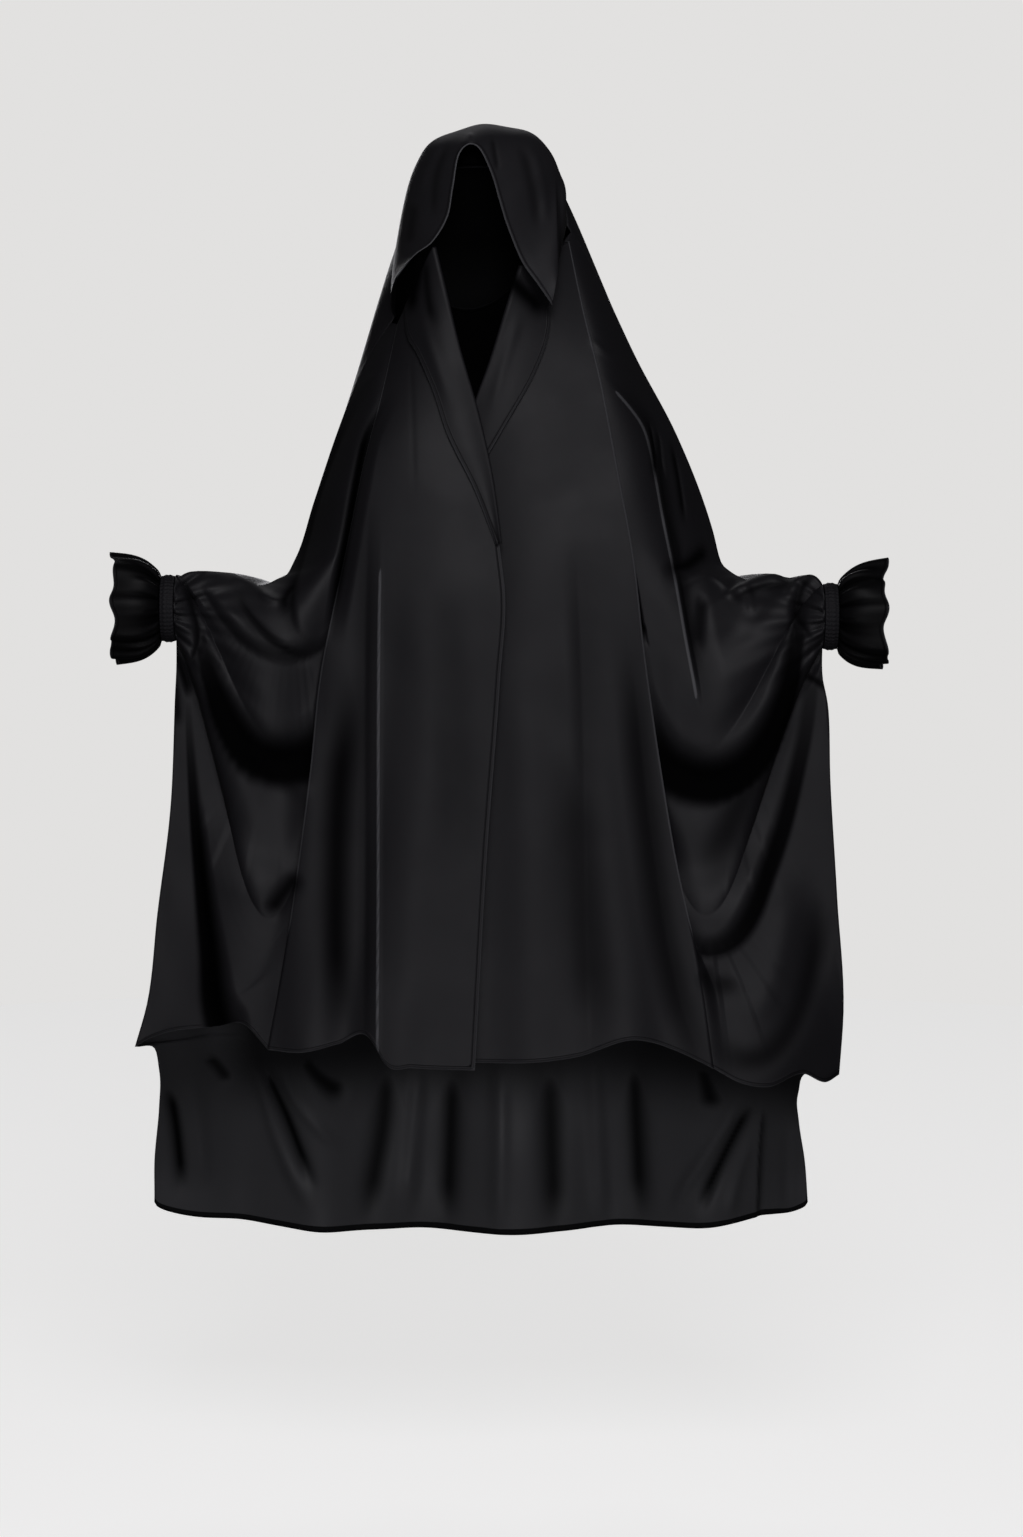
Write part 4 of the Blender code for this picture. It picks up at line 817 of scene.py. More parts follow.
def nearest(rows, density, x, z):
    """Nearest point on a smooth path in the front view, for places x across and z down: the
    signed distance, positive on the right of the way along it, and a list of what the rows carry
    besides their place, read at that point, which ends with the share of the path's length."""
    rows = np.array(rows, float)
    line = follow(np.column_stack((np.linspace(0, 1, len(rows)), rows)),
                  np.linspace(0, 1, density * len(rows)))
    reach = np.cumsum(np.linalg.norm(np.diff(line[:, :2], axis=0), axis=1))
    line = np.column_stack((line, np.append(0.0, reach) / reach[-1]))
    best, signed = np.full(x.shape, np.inf), np.zeros(x.shape)
    carried = [signed] * (line.shape[1] - 2)
    for first, second in zip(line[:-1], line[1:]):
        way = second - first
        dx, dz = x - first[0], z - first[1]
        t = np.clip((dx * way[0] + dz * way[1]) / np.dot(way[:2], way[:2]), 0.0, 1.0)
        away = np.hypot(dx - way[0] * t, dz - way[1] * t)
        near = away < best
        best = np.where(near, away, best)
        signed = np.where(near, np.sign(way[0] * dz - way[1] * dx) * away, signed)
        carried = [np.where(near, start + step * t, old)
                   for start, step, old in zip(first[2:], way[2:], carried)]
    return signed, carried


def past_rims(side, sheet):
    """Distance past the rim of each fall, with the fall's width and depth there."""
    scale = (side.width, FRONT_LENGTH, FRONT_LENGTH, FRONT_STAND)
    for rim in side.falls:
        signed, carried = nearest(np.array(rim) * scale, RIM_POINTS, *side.seen(sheet))
        yield signed, carried[0], carried[1]


def fallen(side, sheet):
    """How far back the falls set each point: softly over the rim, ever steeper down to the depth
    at the fall's foot, then slowly forward again."""
    back = np.zeros(sheet.shape[:-1])
    for signed, width, depth in past_rims(side, sheet):
        drop = np.clip(signed / width, 0.0, 1.0) ** FALL_SHARP
        recovered = smooth_step((signed - width) / (FALL_RECOVERY * FRONT_LENGTH), 0.0, 1.0)
        back = back + depth * drop * (1 - recovered)
    return back


def hollow_light(side, sheet):
    """Share of light that the deep falls between the swags lose: it grows over the rim, is
    greatest at the foot and ends soon beyond it."""
    # painted shade: this share darkens the colour of the deep falls
    lost = np.zeros(sheet.shape[:-1])
    for signed, width, depth in past_rims(side, sheet):
        over = smooth_step(signed / width, HOLLOW_START, HOLLOW_FULL)
        beyond = smooth_step((signed - width) / width, 0.0, HOLLOW_END)
        share = smooth_step(depth / FRONT_STAND, 0.0, HOLLOW_DEPTH)
        lost = np.maximum(lost, HOLLOW_LOSS * share * over * (1 - beyond))
    return lost


def wing(side, u, v):
    """Front of the wing: u runs along each swag from the fold to the side edge, v from the tent
    down to the hem. Each swag sags below its chord and swells before it, and the falls between
    the swags are set back, never past the side edge's depth."""
    rows = follow(side.swags, v)
    top, end = side.fold_rows[0][0], side.fold_rows[-1][0]
    start = front_panel(side, np.full_like(u, 2.0), (rows[..., 0] - top) / (end - top))
    joined = smooth_step(rows[..., 0], JOIN_START, JOIN_END)
    start[..., 1] += SHEETS_APART - JOIN_SEAT * joined
    start[..., 0] += side.sign * joined * JOIN_REACH
    end = side.side_edge(follow(SWAG_ENDS, v)[..., 0], -1)
    sheet = blend(start, end, u)
    sleeve = smooth_step(v, SHOULDER_FOOT, SLEEVE_TOP)
    power = SHOULDER_POWER + (SLEEVE_POWER - SHOULDER_POWER) * sleeve
    sheet[..., 1] = start[..., 1] + (end[..., 1] - start[..., 1]) * u ** power
    turned = u ** (math.log(0.5) / np.log(rows[..., 2]))
    sheet[..., 2] -= rows[..., 1] * FRONT_LENGTH * np.sin(math.pi * turned) ** SWAG_POWER
    sheet[..., 1] -= rows[..., 3] * FRONT_STAND * np.sin(math.pi * u) ** 2
    room = np.maximum(end[..., 1] - sheet[..., 1], GAP)
    back = np.maximum(fallen(side, sheet) * smooth_step(u, 0.0, FALL_SEAM), GAP / 10)
    sheet[..., 1] += (back ** -FALL_LIMIT + room ** -FALL_LIMIT) ** (-1 / FALL_LIMIT)
    drop = follow(side.hem_wing, u)[..., 0]
    sheet[..., 2] -= drop * FRONT_LENGTH * smooth_step(v, HEM_SHARE_WING, 1.0)
    return sheet


def lapel(side, u, v):
    """Turned-back front edge: u 0 to LAPEL_ROLL rolls round the panel's own edge, then the
    sheet runs out before the panel to its hem. v is the place down the panel."""
    across = np.clip((u - LAPEL_ROLL) / (1 - LAPEL_ROLL), 0.0, 1.0)
    reach = follow(side.lapel_rows, v)[..., 0]
    sheet = front_panel(side, across * reach, v)
    lift = LAPEL_LIFT * (1 - LAPEL_THINS * v / side.lapel_rows[-1][0])
    sheet[..., 1] -= lift * (1 + LAPEL_FULLNESS * np.sin(math.pi * across))
    turn = np.clip(u / LAPEL_ROLL, 0.0, 1.0)
    rolled = front_panel(side, np.zeros_like(u), v)
    rolled[..., 0] -= side.sign * (GAP + CLOTH / 2 + lift / 2 * np.sin(math.pi * turn))
    rolled[..., 1] -= lift / 2 * (1 - np.cos(math.pi * turn))
    return np.where((u < LAPEL_ROLL)[..., None], rolled, sheet)


def back_panel(u, place):
    """Back: u runs from the right side edge to the left one; place runs down the side edges
    from the hood's kinks to the corners, and on to the hem. Between the two edges each row is
    carried back to the spine, and bells across make the long folds."""
    half = np.abs(u)
    corner = np.full_like(place, CORNER)
    ends = []
    for side in (LEFT, RIGHT):
        edge = side.side_edge(np.minimum(place, CORNER), 1)
        shift = side.side_edge(corner, 1) - side.tail(corner)
        free = side.tail(place) + shift * (1 - smooth_step(place, CORNER, TAIL_END))[..., None]
        ends.append(np.where((place > CORNER)[..., None], free, edge))
    end = np.where((u > 0)[..., None], ends[0], ends[1])
    spine = follow(SPINE, place)
    round_share = spine[..., 2]
    swing = np.sin(half * math.pi / 2)
    rise = np.cos(half * math.pi / 2)
    x = end[..., 0] * ((1 - round_share) * half + round_share * swing)
    y = end[..., 1] + (spine[..., 0] * BACK_STAND - end[..., 1]) * rise ** BACK_ROUND
    level = rise ** (1 - (1 - TAIL_ROUND) * smooth_step(place, CORNER, TAIL_END))
    z = end[..., 2] + (-spine[..., 1] * BACK_LENGTH - end[..., 2]) * level
    sag = follow(BACK_SAG, place)[..., 0] * FRONT_LENGTH
    z = z - sag * np.sin(math.pi * smooth_step(half, SAG_START, 1.0))
    down = -z / BACK_LENGTH
    width = np.where(u > 0, WING_LEFT, WING_RIGHT)
    for centre, reach, lift, start in FOLDS_BACK:
        shape = np.exp(-((x / width - centre) / reach) ** 2) * rise ** FOLD_FADE
        y = y + lift * BACK_STAND * shape * smooth_step(down, start, 1.0)
    return points(x, y, z)


def hood(u, v):
    """Hood: u runs over the head from the right foot to the left foot, v from the front hem
    through the widest outline to the seam behind the crown."""
    place = (u + 1) / 2
    scale = np.array((HEAD_WIDTH, -FRONT_STAND, -HEAD_WIDTH))
    first, middle = follow(HOOD_HEM, place) * scale, follow(HOOD_OUTLINE, place) * scale
    last = back_panel(u, np.zeros_like(u))
    last[..., 1] -= CROWN_SEAT
    share = v[..., None]
    bend = 4 * share * (1 - share)
    chord = first + (last - first) * share
    return chord + (middle - (first + last) / 2) * bend


def inward(surface, u, v, distance):
    """Points of a surface moved along its normal, towards the wearer."""
    step = 1e-4
    here = surface(u, v)
    along_u = surface(u + step, v) - surface(u - step, v)
    along_v = surface(u, v + step) - surface(u, v - step)
    normal = np.cross(along_u, along_v)
    normal /= np.linalg.norm(normal, axis=-1, keepdims=True)
    turn = np.sign(np.sum(normal * (np.array(HEAD_CENTRE) - here), axis=-1, keepdims=True))
    return here + normal * turn * distance


def forehead_band(u, v):
    """Inner band: hangs from the inside of the hood and bends round the brow. v runs from its
    seam down."""
    seam = inward(hood, u * BAND_REACH, np.full_like(u, BAND_SEAM), CLOTH / 2 + 2 * GAP)
    angle = u * BAND_TURN
    brow = points(BAND_WIDTH / 2 * np.sin(angle), -BAND_DEPTH * np.cos(angle),
                  -BAND_FOOT - BAND_DROOP * u ** 2)
    return blend(seam, brow, v)


def throat_panel(u, v):
    """Inner panel under the chin, between the two front panels: its top dips in the middle."""
    down = v * THROAT_SHARE
    left = front_panel(LEFT, np.full_like(u, THROAT_SEAT_LEFT), down)
    right = front_panel(RIGHT, np.full_like(u, THROAT_SEAT_RIGHT), down)
    sheet = blend(right, left, (u + 1) / 2)
    middle = 1 - u ** 2
    sheet[..., 1] += CLOTH + 2 * GAP + THROAT_HOLLOW * middle
    sheet[..., 2] -= THROAT_DIP * middle * (1 - THROAT_EVEN * v)
    return sheet


def creased(rows, scale, x, z):
    """Push of drawn creases, each fading out at its path's ends, and the share of light that
    their hollows lose, at places x across and z down. A ridge is a bell of its distance; a fall
    drops by a power of its distance over its width, and comes back over its recovery."""
    push, lost = np.zeros(x.shape), np.zeros(x.shape)
    for amount, width, recovery, dark, path in rows:
        signed, (along,) = nearest(np.array(path) * scale, PATH_POINTS, x, z)
        fade = window(along, (0.0, CREASE_FADE), (1 - CREASE_FADE, 1.0))
        if recovery:
            beyond = (signed - width) / recovery
            drop = np.clip(signed / width, 0.0, 1.0) ** FALL_SHARP
            shape = -drop * (1 - smooth_step(beyond, 0.0, 1.0))
            hidden = smooth_step(signed / width, 0.0, DARK_BY) * (
                1 - smooth_step(beyond, 0.0, LIGHT_BY))
        else:
            shape = hidden = np.exp(-(signed / width) ** 2)
        push = push + amount * shape * fade
        # the dark share is painted shade, mixed into the colour
        lost = np.maximum(lost, dark * hidden * fade)
    return push, lost


def front_creases(side, sheet):
    """Forward push and lost light of the creases on the front sheets of one half."""
    return creased(side.creases, (side.width, FRONT_LENGTH), *side.seen(sheet))


def back_creases(rows, sheet):
    """Forward push and lost light of creases on the back."""
    return creased(rows, (WING_LEFT, BACK_LENGTH), sheet[..., 0], -sheet[..., 2])


def hood_creases(sheet):
    """Outward push and lost light of the hood's pleats, on its front alone."""
    push, lost = creased(CREASES_HOOD, (HEAD_WIDTH, HEAD_WIDTH), sheet[..., 0], -sheet[..., 2])
    front = 1 - smooth_step(sheet[..., 1], *HOOD_FRONT)
    return push * front, lost * front


def wrist_gathers(side, sheet):
    """Pleats that fan inwards from the wrist: a wave in the angle about the wrist, strongest
    beside the band, dying out over the forearm."""
    across = side.wrist[0] * side.sign - side.sign * sheet[..., 0]
    rise = sheet[..., 2] - side.wrist[2]
    radius = np.hypot(across, rise * GATHER_FLAT)
    angle = np.arctan2(rise, across + GATHER_CENTRE)
    wave = sum(share * np.cos(waves * GATHER_WAVES * angle + turn)
               for share, waves, turn in GATHERS)
    return GATHER_DEPTH * wave * np.exp(-radius / GATHER_REACH)


def soft_wrinkles(sheet, size, depth):
    """Small uneven creases: three slow waves in the front view, each in its own direction and
    bent by another wave, the second one multiplied by the first."""
    x, z = sheet[..., 0] / size, sheet[..., 2] / size
    first, second, third = (
        np.sin(across * x + down * z + bend * np.sin(bend_x * x + bend_z * z + turn))
        for across, down, bend, bend_x, bend_z, turn in WAVES)
    share = WAVE_SHARES
    return depth * (share[0] * first + share[1] * second * first + share[2] * third)


def drawn_front(side, surface, u, v):
    """Front panel or lapel with creases and wrinkles pushed forward: the same push at the same
    place, so that the lapel still lies on its panel."""
    sheet = surface(side, u, v)
    push = front_creases(side, sheet)[0] + soft_wrinkles(sheet, *FRONT_WRINKLES)
    sheet[..., 1] -= push * smooth_step(v, *FRONT_FREE)
    return sheet


def drawn_wing(side, u, v):
    """Wing with its drawn creases, its wrist pleats and small wrinkles, flat at the side seam."""
    sheet = wing(side, u, v)
    top = smooth_step(v, *WING_FREE)
    push = front_creases(side, sheet)[0] + soft_wrinkles(sheet, *WING_WRINKLES)
    sheet[..., 1] -= push * (1 - smooth_step(u, *WING_SEAM)) * top
    sheet[..., 1] -= wrist_gathers(side, sheet) * (1 - smooth_step(u, *WRIST_SEAM)) * top
    return sheet


def drawn_back(u, place):
    """Back with small wrinkles, with the creases of its hem and with the long folds of its outer
    side, flat at its side seams and at the hood's seam."""
    sheet = back_panel(u, place)
    half = np.abs(u)
    push = back_creases(CREASES_BACK, sheet)[0] * smooth_step(place, *BACK_HEM_FREE)
    push = push + back_creases(REAR_FOLDS, sheet)[0] * (1 - smooth_step(half, *REAR_SEAM))
    quiet = (1 - smooth_step(half, *BACK_SEAM)) * smooth_step(place, *BACK_FREE)
    sheet[..., 1] += (soft_wrinkles(sheet, *BACK_WRINKLES) * quiet
                      - push * (1 - smooth_step(half, *BACK_HEM_SEAM)))
    return sheet


def drawn_hood(u, v):
    """Hood with its pleats and small wrinkles pushed out from the head's centre."""
    sheet = hood(u, v)
    away = sheet - np.array(HEAD_CENTRE)
    away /= np.linalg.norm(away, axis=-1, keepdims=True)
    push = hood_creases(sheet)[0] + soft_wrinkles(sheet, *HOOD_WRINKLES)
    return sheet + away * (push * window(v, HOOD_FREE, HOOD_SEAM))[..., None]


def drawn_elastic(side, u, v):
    """Elastic band, shirred: the wrist's oval carried outwards, with fine ribs along the arm,
    drawn in by rows of elastic."""
    angle = 2 * math.pi * u
    turns = 2 * math.pi * ELASTIC_ROWS * v
    rib = np.cos(RIBS * angle + RIB_LEAN * np.sin(turns))
    ribbed = 1 + RIB_DEPTH * rib + ROW_DEPTH * np.cos(turns)
    swell = 1 + ELASTIC_SWELL * np.sin(math.pi * v)
    return side.ring(GAP + CLOTH / 2 + ELASTIC_WIDTH * v, swell * ribbed, angle)


def uneven_wave(angle, count, bends):
    """Wave round the ruffle, from 1 on a crest to -1 in a trough, bent by slower waves."""
    return np.cos(count * angle + sum(share * np.sin(slow * angle + turn)
                                      for share, slow, turn in bends))


def drawn_ruffle(side, u, v):
    """Ruffle that opens out quickly beyond the band and then hangs almost level, with gathers
    that merge into uneven lobes, and a slightly uneven reach."""
    angle = 2 * math.pi * u
    lobes = sum(share * np.cos(count * angle + turn + own * side.sign)
                for share, count, turn, own in LOBES)
    small = sum(share * uneven_wave(angle, count, bends) * np.exp(-v / fade)
                for (share, fade), count, bends in (
                    (RUFFLE_GATHER, GATHER_COUNT, GATHER_BENDS),
                    (RUFFLE_PLEAT, PLEAT_COUNT, PLEAT_BENDS)))
    flare = (1 + (RUFFLE_FLARE - 1) * (1 - (1 - v) ** RUFFLE_QUICK) + lobes * v ** LOBE_POWER
             + small * smooth_step(v, *RUFFLE_FREE))
    uneven = REACH_MEAN + sum(share * np.cos(count * angle + turn)
                              for share, count, turn in REACHES)
    return side.ring(2 * GAP + ELASTIC_WIDTH + CLOTH + RUFFLE_LENGTH * v * uneven, flare, angle)


def front_hollows(side, grid, u, v):
    """Share of light that the creases of a front panel or lapel lose."""
    return front_creases(side, grid)[1]


def wing_hollows(side, grid, u, v):
    """Share of light that a wing's creases and deep falls lose."""
    return np.maximum(front_creases(side, grid)[1], hollow_light(side, grid))


def hood_hollows(grid, u, v):
    """Share of light that the hood's pleats lose."""
    return hood_creases(grid)[1]


def back_hollows(grid, u, v):
    """Share of light that the back's inner face loses: in its creases and in the shade close
    behind the front hem."""
    shade = 1 - smooth_step(-grid[..., 2] / BACK_LENGTH, *HEM_SHADE)
    lit_end = smooth_step(-grid[..., 0] / WING_RIGHT, *LIT_END)
    # painted shade of the creases and behind the front hem
    return np.maximum(back_creases(CREASES_BACK, grid)[1],
                      HEM_SHADE_LOSS * shade * (1 - LIT_END_GAIN * lit_end))


def ruffle_hollows(grid, u, v):
    """Share of light that the troughs of the ruffle's pleats lose, most beside the band."""
    trough = smooth_step(-uneven_wave(2 * math.pi * u, PLEAT_COUNT, PLEAT_BENDS), *TROUGH)
    # painted shade in the ruffle's troughs
    return TROUGH_LOSS * trough * np.exp(-v / TROUGH_REACH)


def arc(grid, axis):
    """Length along the cloth from the first row or column, metre by metre."""
    step = np.linalg.norm(np.diff(grid, axis=axis), axis=-1)
    lead = np.zeros_like(np.take(step, [0], axis=axis))
    return np.cumsum(np.concatenate((lead, step), axis=axis), axis=axis)


def pressed_edge(side, grid, u):
    """Distance of each point to the pressed edge of its half, growing past the path's ends."""
    path = np.array(side.pressed) * (side.width, FRONT_LENGTH)
    signed, (along,) = nearest(path, PATH_POINTS, *side.seen(grid))
    return (np.abs(signed) + HIGHLIGHT_ENDS * (1 - smooth_step(along, *HIGHLIGHT_START))
            + HIGHLIGHT_ENDS * smooth_step(along, *HIGHLIGHT_STOP))


def panel_edges(side, grid, u):
    """Distance of each point of a panel to its outer fold or to the pressed edge on it."""
    along = arc(grid, 1)
    fold = np.argmin(np.abs(u[0] - 1.0))
    joined = smooth_step(-grid[..., 2] / FRONT_LENGTH, JOIN_START, JOIN_END)
    return np.minimum(np.abs(along - along[:, fold:fold + 1]) + HIGHLIGHT_ENDS * joined,
                      pressed_edge(side, grid, u))


def hem_reading(grid, hems):
    """Distance to the nearest hemmed edge and the run along that edge, for every point."""
    along_u, along_v = arc(grid, 1), arc(grid, 0)
    distance = np.full(grid.shape[:2], 1.0)
    run = np.zeros(grid.shape[:2])
    for hem in hems:
        away, way = {"first column": (along_u, along_v),
                     "last column": (along_u[:, -1:] - along_u, along_v),
                     "first row": (along_v, along_u),
                     "last row": (along_v[-1:] - along_v, along_u)}[hem]
        nearer = away < distance
        distance = np.where(nearer, away, distance)
        run = np.where(nearer, way, run)
    return distance, run


def satin(name, roughness, specular, shade, painted_shade_from=INNER_NEVER, hollow="hollow", band=0,
          highlight_share=1):
    """Black satin crepe: a fine weave and soft creases as bump, a narrow hem with a line of
    stitches and a rounded edge, read from the sheet's own hem distance and run, and a painted
    highlight along pressed edges and hems. Painted shade in a hollow and in the stitches' groove,
    the painted shade beyond painted_shade_from and a darker hem band take colour and gloss away."""
    material = bpy.data.materials.new(name)
    material.use_nodes = True
    tree = material.node_tree
    shader = tree.nodes["Principled BSDF"]

    def add(kind, **values):
        node = tree.nodes.new(kind)
        for key, value in values.items():
            setattr(node, key, value)
        return node

    def attach(source, target):
        """Link a socket to an input, or set the input to a constant."""
        if isinstance(source, (int, float, tuple)):
            target.default_value = source
        else:
            tree.links.new(source, target)

    def filled(kind, inputs, output, **values):
        node = add(kind, **values)
        for key, value in inputs.items():
            attach(value, node.inputs[key])
        return node.outputs[output]

    def calculate(operation, first, second=None):
        inputs = {0: first} if second is None else {0: first, 1: second}
        return filled("ShaderNodeMath", inputs, 0, operation=operation)

    def smooth_map(value, low, high, first, last):
        inputs = {"Value": value, "From Min": low, "From Max": high, "To Min": first,
                  "To Max": last}
        return filled("ShaderNodeMapRange", inputs, "Result", interpolation_type="SMOOTHSTEP")

    def noise(scale, detail, rough):
        inputs = {"Scale": scale, "Detail": detail, "Roughness": rough, "Vector": place}
        return filled("ShaderNodeTexNoise", inputs, "Fac")

    def mix(factor, first, second):
        inputs = {"Factor": factor, "A": first, "B": second}
        return filled("ShaderNodeMix", inputs, "Result", data_type="RGBA")

    def bump(height, strength, distance, normal=None):
        inputs = {"Strength": strength, "Distance": distance, "Height": height}
        if normal:
            inputs["Normal"] = normal
        return filled("ShaderNodeBump", inputs, "Normal")

    def attribute(label):
        return add("ShaderNodeAttribute", attribute_name=label).outputs["Fac"]

    place = add("ShaderNodeTexCoord").outputs["Object"]
    hem, run, edge = attribute("hem_distance"), attribute("hem_run"), attribute("edge_distance")
    weave, soft = noise(*WEAVE), noise(*SOFT)

    cloth = mix(weave, *(tuple(share * value for value in shade) + (1.0,)
                         for share in (1 - WEAVE_SPREAD, 1 + WEAVE_SPREAD)))
    # painted highlight: the colour is lightened along pressed edges and hems
    painted_highlight = calculate("MAXIMUM", *(
        smooth_map(distance, low, high, full * highlight_share, 0.0)
        for distance, (low, high, full) in ((edge, FOLD_PAINTED_HIGHLIGHT), (hem, HEM_PAINTED_HIGHLIGHT))))
    groove = smooth_map(calculate("ABSOLUTE", calculate("SUBTRACT", hem, STITCH_ROW)),
                        0.0, STITCH_GROOVE, 1.0, 0.0)
    # lost: painted shade of hollows and creases, and beyond painted_shade_from
    lost = calculate("MAXIMUM", attribute(hollow), smooth_map(hem, *painted_shade_from, 0.0, INNER_LOSS))
    # painted shade in the stitches' groove
    lost = calculate("MAXIMUM", lost, calculate("MULTIPLY", groove, STITCH_LOSS))
    if band:
        darker = smooth_map(hem, band, band + HEM_BAND_EDGE, HEM_BAND_LOSS, 0.0)
        lost = calculate("MAXIMUM", lost, darker)
    # base colour: painted highlight along edges, then painted shade where light is lost
    attach(mix(lost, mix(painted_highlight, cloth, EDGE_PAINTED_HIGHLIGHT), HOLLOW_SHADE), shader.inputs["Base Color"])
    gloss = smooth_map(soft, *SOFT_RANGE, roughness - GLOSS_SPREAD, roughness + GLOSS_SPREAD)
    rougher = calculate("MULTIPLY", lost, HOLLOW_ROUGHER)
    attach(calculate("ADD", gloss, rougher), shader.inputs["Roughness"])
    # the specular level is set to a constant, then linked so that painted shade takes it
    # away; the export drops the link of the specular level and keeps this constant
    shader.inputs["Specular IOR Level"].default_value = specular
    kept = calculate("SUBTRACT", 1.0, lost)
    attach(calculate("MULTIPLY", kept, specular), shader.inputs["Specular IOR Level"])

    stitch = calculate("FRACT", calculate("MULTIPLY", run, 1 / STITCH))
    dash = calculate("ABSOLUTE", calculate("SUBTRACT", stitch, 0.5))
    stitches = calculate("MULTIPLY", groove, smooth_map(dash, *STITCH_DASH))
    inner_step = (HEM_WIDTH + offset for offset in HEM_STEP)
    turned = calculate("MULTIPLY", smooth_map(hem, 0.0, HEM_ROUND, 0.0, 1.0),
                       smooth_map(hem, *inner_step, 1.0, 0.0))
    normal = bump(weave, *WEAVE_BUMP)
    normal = bump(soft, *SOFT_BUMP, normal)
    normal = bump(calculate("SUBTRACT", turned, stitches), *HEM_BUMP, normal)
    attach(normal, shader.inputs["Normal"])
    return material


def mesh_of(name, grid, faces, material):
    """Smooth mesh from a grid of points, with its first material."""
    mesh = bpy.data.meshes.new(name)
    mesh.from_pydata(grid.reshape(-1, 3).tolist(), [], faces)
    mesh.shade_smooth()
    mesh.materials.append(material)
    return mesh


def placed(name, data):
    """Object for a mesh, lamp or camera, in the scene."""
    holder = bpy.data.objects.new(name, data)
    bpy.context.scene.collection.objects.link(holder)
    return holder


def cloth_piece(name, surface, across, along, material, hems=(), closed=False, edges=None,
                hollows=None, outer=None):
    """Fine sheet over a node: the surface on a grid of places, smooth, made a wall by Solidify.
    The edges and the hollows are read from the finished grid and its places u and v. Where it has
    an outer material of its own, the first one is left to the inner face, and so are the hollows.
    """
    u, v = np.meshgrid(across, along)
    grid = surface(u, v)
    rows, columns = u.shape
    index = np.arange(rows * columns).reshape(rows, columns)
    right = np.roll(index, -1, axis=1) if closed else index[:, 1:]
    left = index if closed else index[:, :-1]
    faces = np.stack((left[:-1], left[1:], right[1:], right[:-1]), axis=-1).reshape(-1, 4)
    mesh = mesh_of(name + "_cloth", grid, faces.tolist(), material)
    distance, run = hem_reading(grid, hems)
    # painted shade: the share of light lost, stored as the hollow attributes
    lost = hollows(grid, u, v) if hollows else np.zeros(u.shape)
    readings = {
        "hem_distance": distance,
        "hem_run": run,
        "edge_distance": edges(grid, u) if edges else np.ones(u.shape),
        "hollow": np.zeros(u.shape) if outer else lost,
        "inner_hollow": lost,
    }
    for label, values in readings.items():
        layer = mesh.attributes.new(label, "FLOAT", "POINT")
        layer.data.foreach_set("value", values.ravel().astype(np.float32))
    piece = placed(name + "_cloth", mesh)
    wall = piece.modifiers.new("wall", "SOLIDIFY")
    wall.thickness = CLOTH
    wall.offset = 0.0
    if outer:
        mesh.materials.append(outer)
        wall.material_offset = 1
        wall.material_offset_rim = 1
    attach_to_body(piece, "root")
    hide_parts(name)
    "elastic" if "elastic" in name else "satin"
    return piece


def even(grid, start=0):
    """Even places of a grid: across from start to 1, and along from 0 to 1."""
    return np.linspace(start, 1, grid[0]), np.linspace(0, 1, grid[1])


def even_ring(grid, start=0):
    """Even places of a closed grid: round the ring, and along from start to 1."""
    return np.arange(grid[0]) / grid[0], np.linspace(start, 1, grid[1])


def dress():
    """All fourteen sheets."""
    satins = {use: satin(*values) for use, values in SATINS.items()}
    cloth = satins["cloth"]
    made = {}

    def make(name, *values, **options):
        made[name] = cloth_piece(name, *values, **options)

    make("hood", drawn_hood, *even(HOOD_GRID, -1), satins["hood"], ("first row",),
         hollows=hood_hollows)
    make("forehead_band", forehead_band, *even(BAND_GRID, -1), satins["dull"], ("last row",))
    make("throat_panel", throat_panel, *even(THROAT_GRID, -1), satins["dull"], ("first row",))
    across, down = even(BACK_GRID, -1)
    down = np.append(down * CORNER, np.linspace(CORNER, TAIL_END, TAIL_GRID)[1:])
    make("back_panel", drawn_back, across, down, satins["inner"], ("last row",),
         hollows=back_hollows, outer=cloth)
    for side in (LEFT, RIGHT):
        creases = partial(front_hollows, side)
        across, down = even(PANEL_GRID)
        make("front_panel_" + side.name, partial(drawn_front, side, front_panel),
             np.append(across, RETURN_PLACES), down, cloth, ("first column", "last row"),
             edges=partial(panel_edges, side), hollows=creases)
        make("wing_" + side.name, partial(drawn_wing, side), *even(WING_GRID), cloth,
             ("last row",), edges=partial(pressed_edge, side), hollows=partial(wing_hollows, side))
        across = np.append(np.linspace(0, LAPEL_ROLL, ROLL_GRID)[:-1],
                           np.linspace(LAPEL_ROLL, 1, LAPEL_GRID[0]))
        down = np.linspace(0, side.lapel_rows[-1][0], LAPEL_GRID[1])
        make("lapel_" + side.name, partial(drawn_front, side, lapel), across, down, cloth,
             ("last column",), hollows=creases)
        around, down = even_ring(ELASTIC_GRID)
        make("wrist_elastic_" + side.name, partial(drawn_elastic, side), around, down,
             satins["shirring"], closed=True)
        around, down = even_ring(RUFFLE_GRID)
        make("cuff_ruffle_" + side.name, partial(drawn_ruffle, side), around, down,
             satins["ruffle"], ("last row",), closed=True, hollows=ruffle_hollows)
    for name, piece in made.items():
        flat, held, hangs_from = CUTS[name]


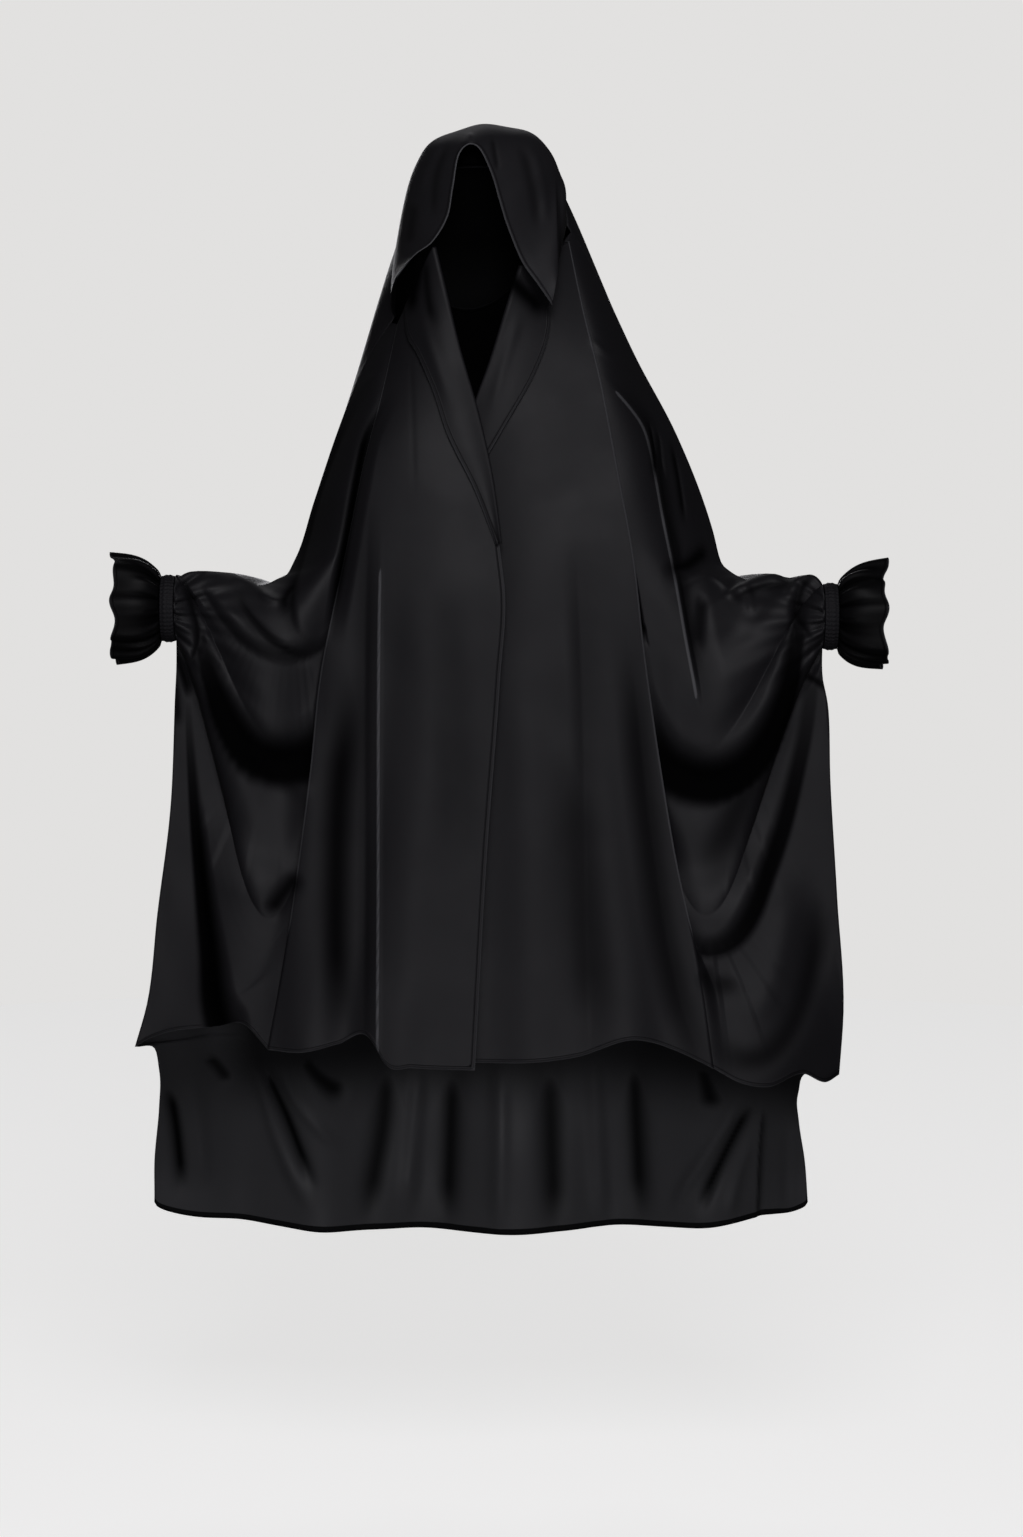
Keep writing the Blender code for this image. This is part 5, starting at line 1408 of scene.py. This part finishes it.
def floor():
    """Pale round floor, which neither lights the cloth nor shows in its gloss."""
    paint = bpy.data.materials.new("studio_white")
    paint.use_nodes = True
    inputs = paint.node_tree.nodes["Principled BSDF"].inputs
    inputs["Base Color"].default_value = FLOOR_PAINT
    inputs["Roughness"].default_value = FLOOR_ROUGHNESS
    inputs["Specular IOR Level"].default_value = 0.0
    inputs["Emission Color"].default_value = FLOOR_SHADE
    inputs["Emission Strength"].default_value = FLOOR_GLOW
    turn, reach = np.meshgrid(*even_ring(FLOOR_GRID, FLOOR_START))
    turn, reach = turn * 2 * math.pi, reach * FLOOR_REACH
    grid = points(reach * np.cos(turn), reach * np.sin(turn), FLOOR)
    index = np.arange(turn.size).reshape(turn.shape)
    ahead = np.roll(index, -1, axis=1)
    faces = np.stack((index[:-1], index[1:], ahead[1:], ahead[:-1]), axis=-1).reshape(-1, 4)
    ground = placed("studio_floor", mesh_of("studio_floor", grid,
                                            faces.tolist() + [index[0].tolist()], paint))
    ground.visible_glossy = False
    ground.visible_diffuse = False


def lights():
    """Soft lights from before and above, from below at the hem and from behind; the broad one
    behind is linked to the rear sheets, so that it leaves no bright rims in front."""
    for name, place, size, aimed, power in LIGHTS:
        lamp = bpy.data.lights.new(name, "AREA")
        lamp.shape = "RECTANGLE"
        lamp.size, lamp.size_y = size
        lamp.energy = power
        lamp.color = LAMP_SHADE
        holder = placed(name, lamp)
        holder.location = place
        holder.visible_camera = False
        aim = Vector(aimed) - holder.location
        holder.rotation_euler = aim.to_track_quat("-Z", "Y").to_euler()
        if name == "rear_broad":
            rear = bpy.data.collections.new("rear_sheets")
            for sheet in REAR_SHEETS:
                rear.objects.link(bpy.data.objects[sheet + "_cloth"])
            holder.light_linking.receiver_collection = rear


def backdrop():
    """Weak pale air all round, and a pale backdrop that only the camera sees."""
    world = bpy.data.worlds.new("studio_air")
    world.use_nodes = True
    tree = world.node_tree
    air = tree.nodes["Background"]
    air.inputs["Color"].default_value = (1.0, 1.0, 1.0, 1.0)
    air.inputs["Strength"].default_value = AIR
    seen = tree.nodes.new("ShaderNodeBackground")
    seen.inputs["Color"].default_value = PALE_SHADE
    seen.inputs["Strength"].default_value = PALE
    ray = tree.nodes.new("ShaderNodeLightPath")
    mix = tree.nodes.new("ShaderNodeMixShader")
    tree.links.new(ray.outputs["Is Camera Ray"], mix.inputs[0])
    tree.links.new(air.outputs[0], mix.inputs[1])
    tree.links.new(seen.outputs[0], mix.inputs[2])
    tree.links.new(mix.outputs[0], tree.nodes["World Output"].inputs["Surface"])
    bpy.context.scene.world = world
    bpy.context.scene.view_settings.view_transform = "Standard"


def camera():
    """Camera at the photograph's place: chest height, looking slightly down."""
    lens = bpy.data.cameras.new("camera")
    lens.sensor_fit = "VERTICAL"
    lens.sensor_height = SENSOR
    lens.lens = FOCAL_PIXELS / IMAGE_HEIGHT * SENSOR
    holder = placed("camera", lens)
    holder.location = CAMERA_PLACE
    holder.rotation_euler = CAMERA_TURN
    bpy.context.scene.camera = holder


camera()
dress()
floor()
lights()
backdrop()
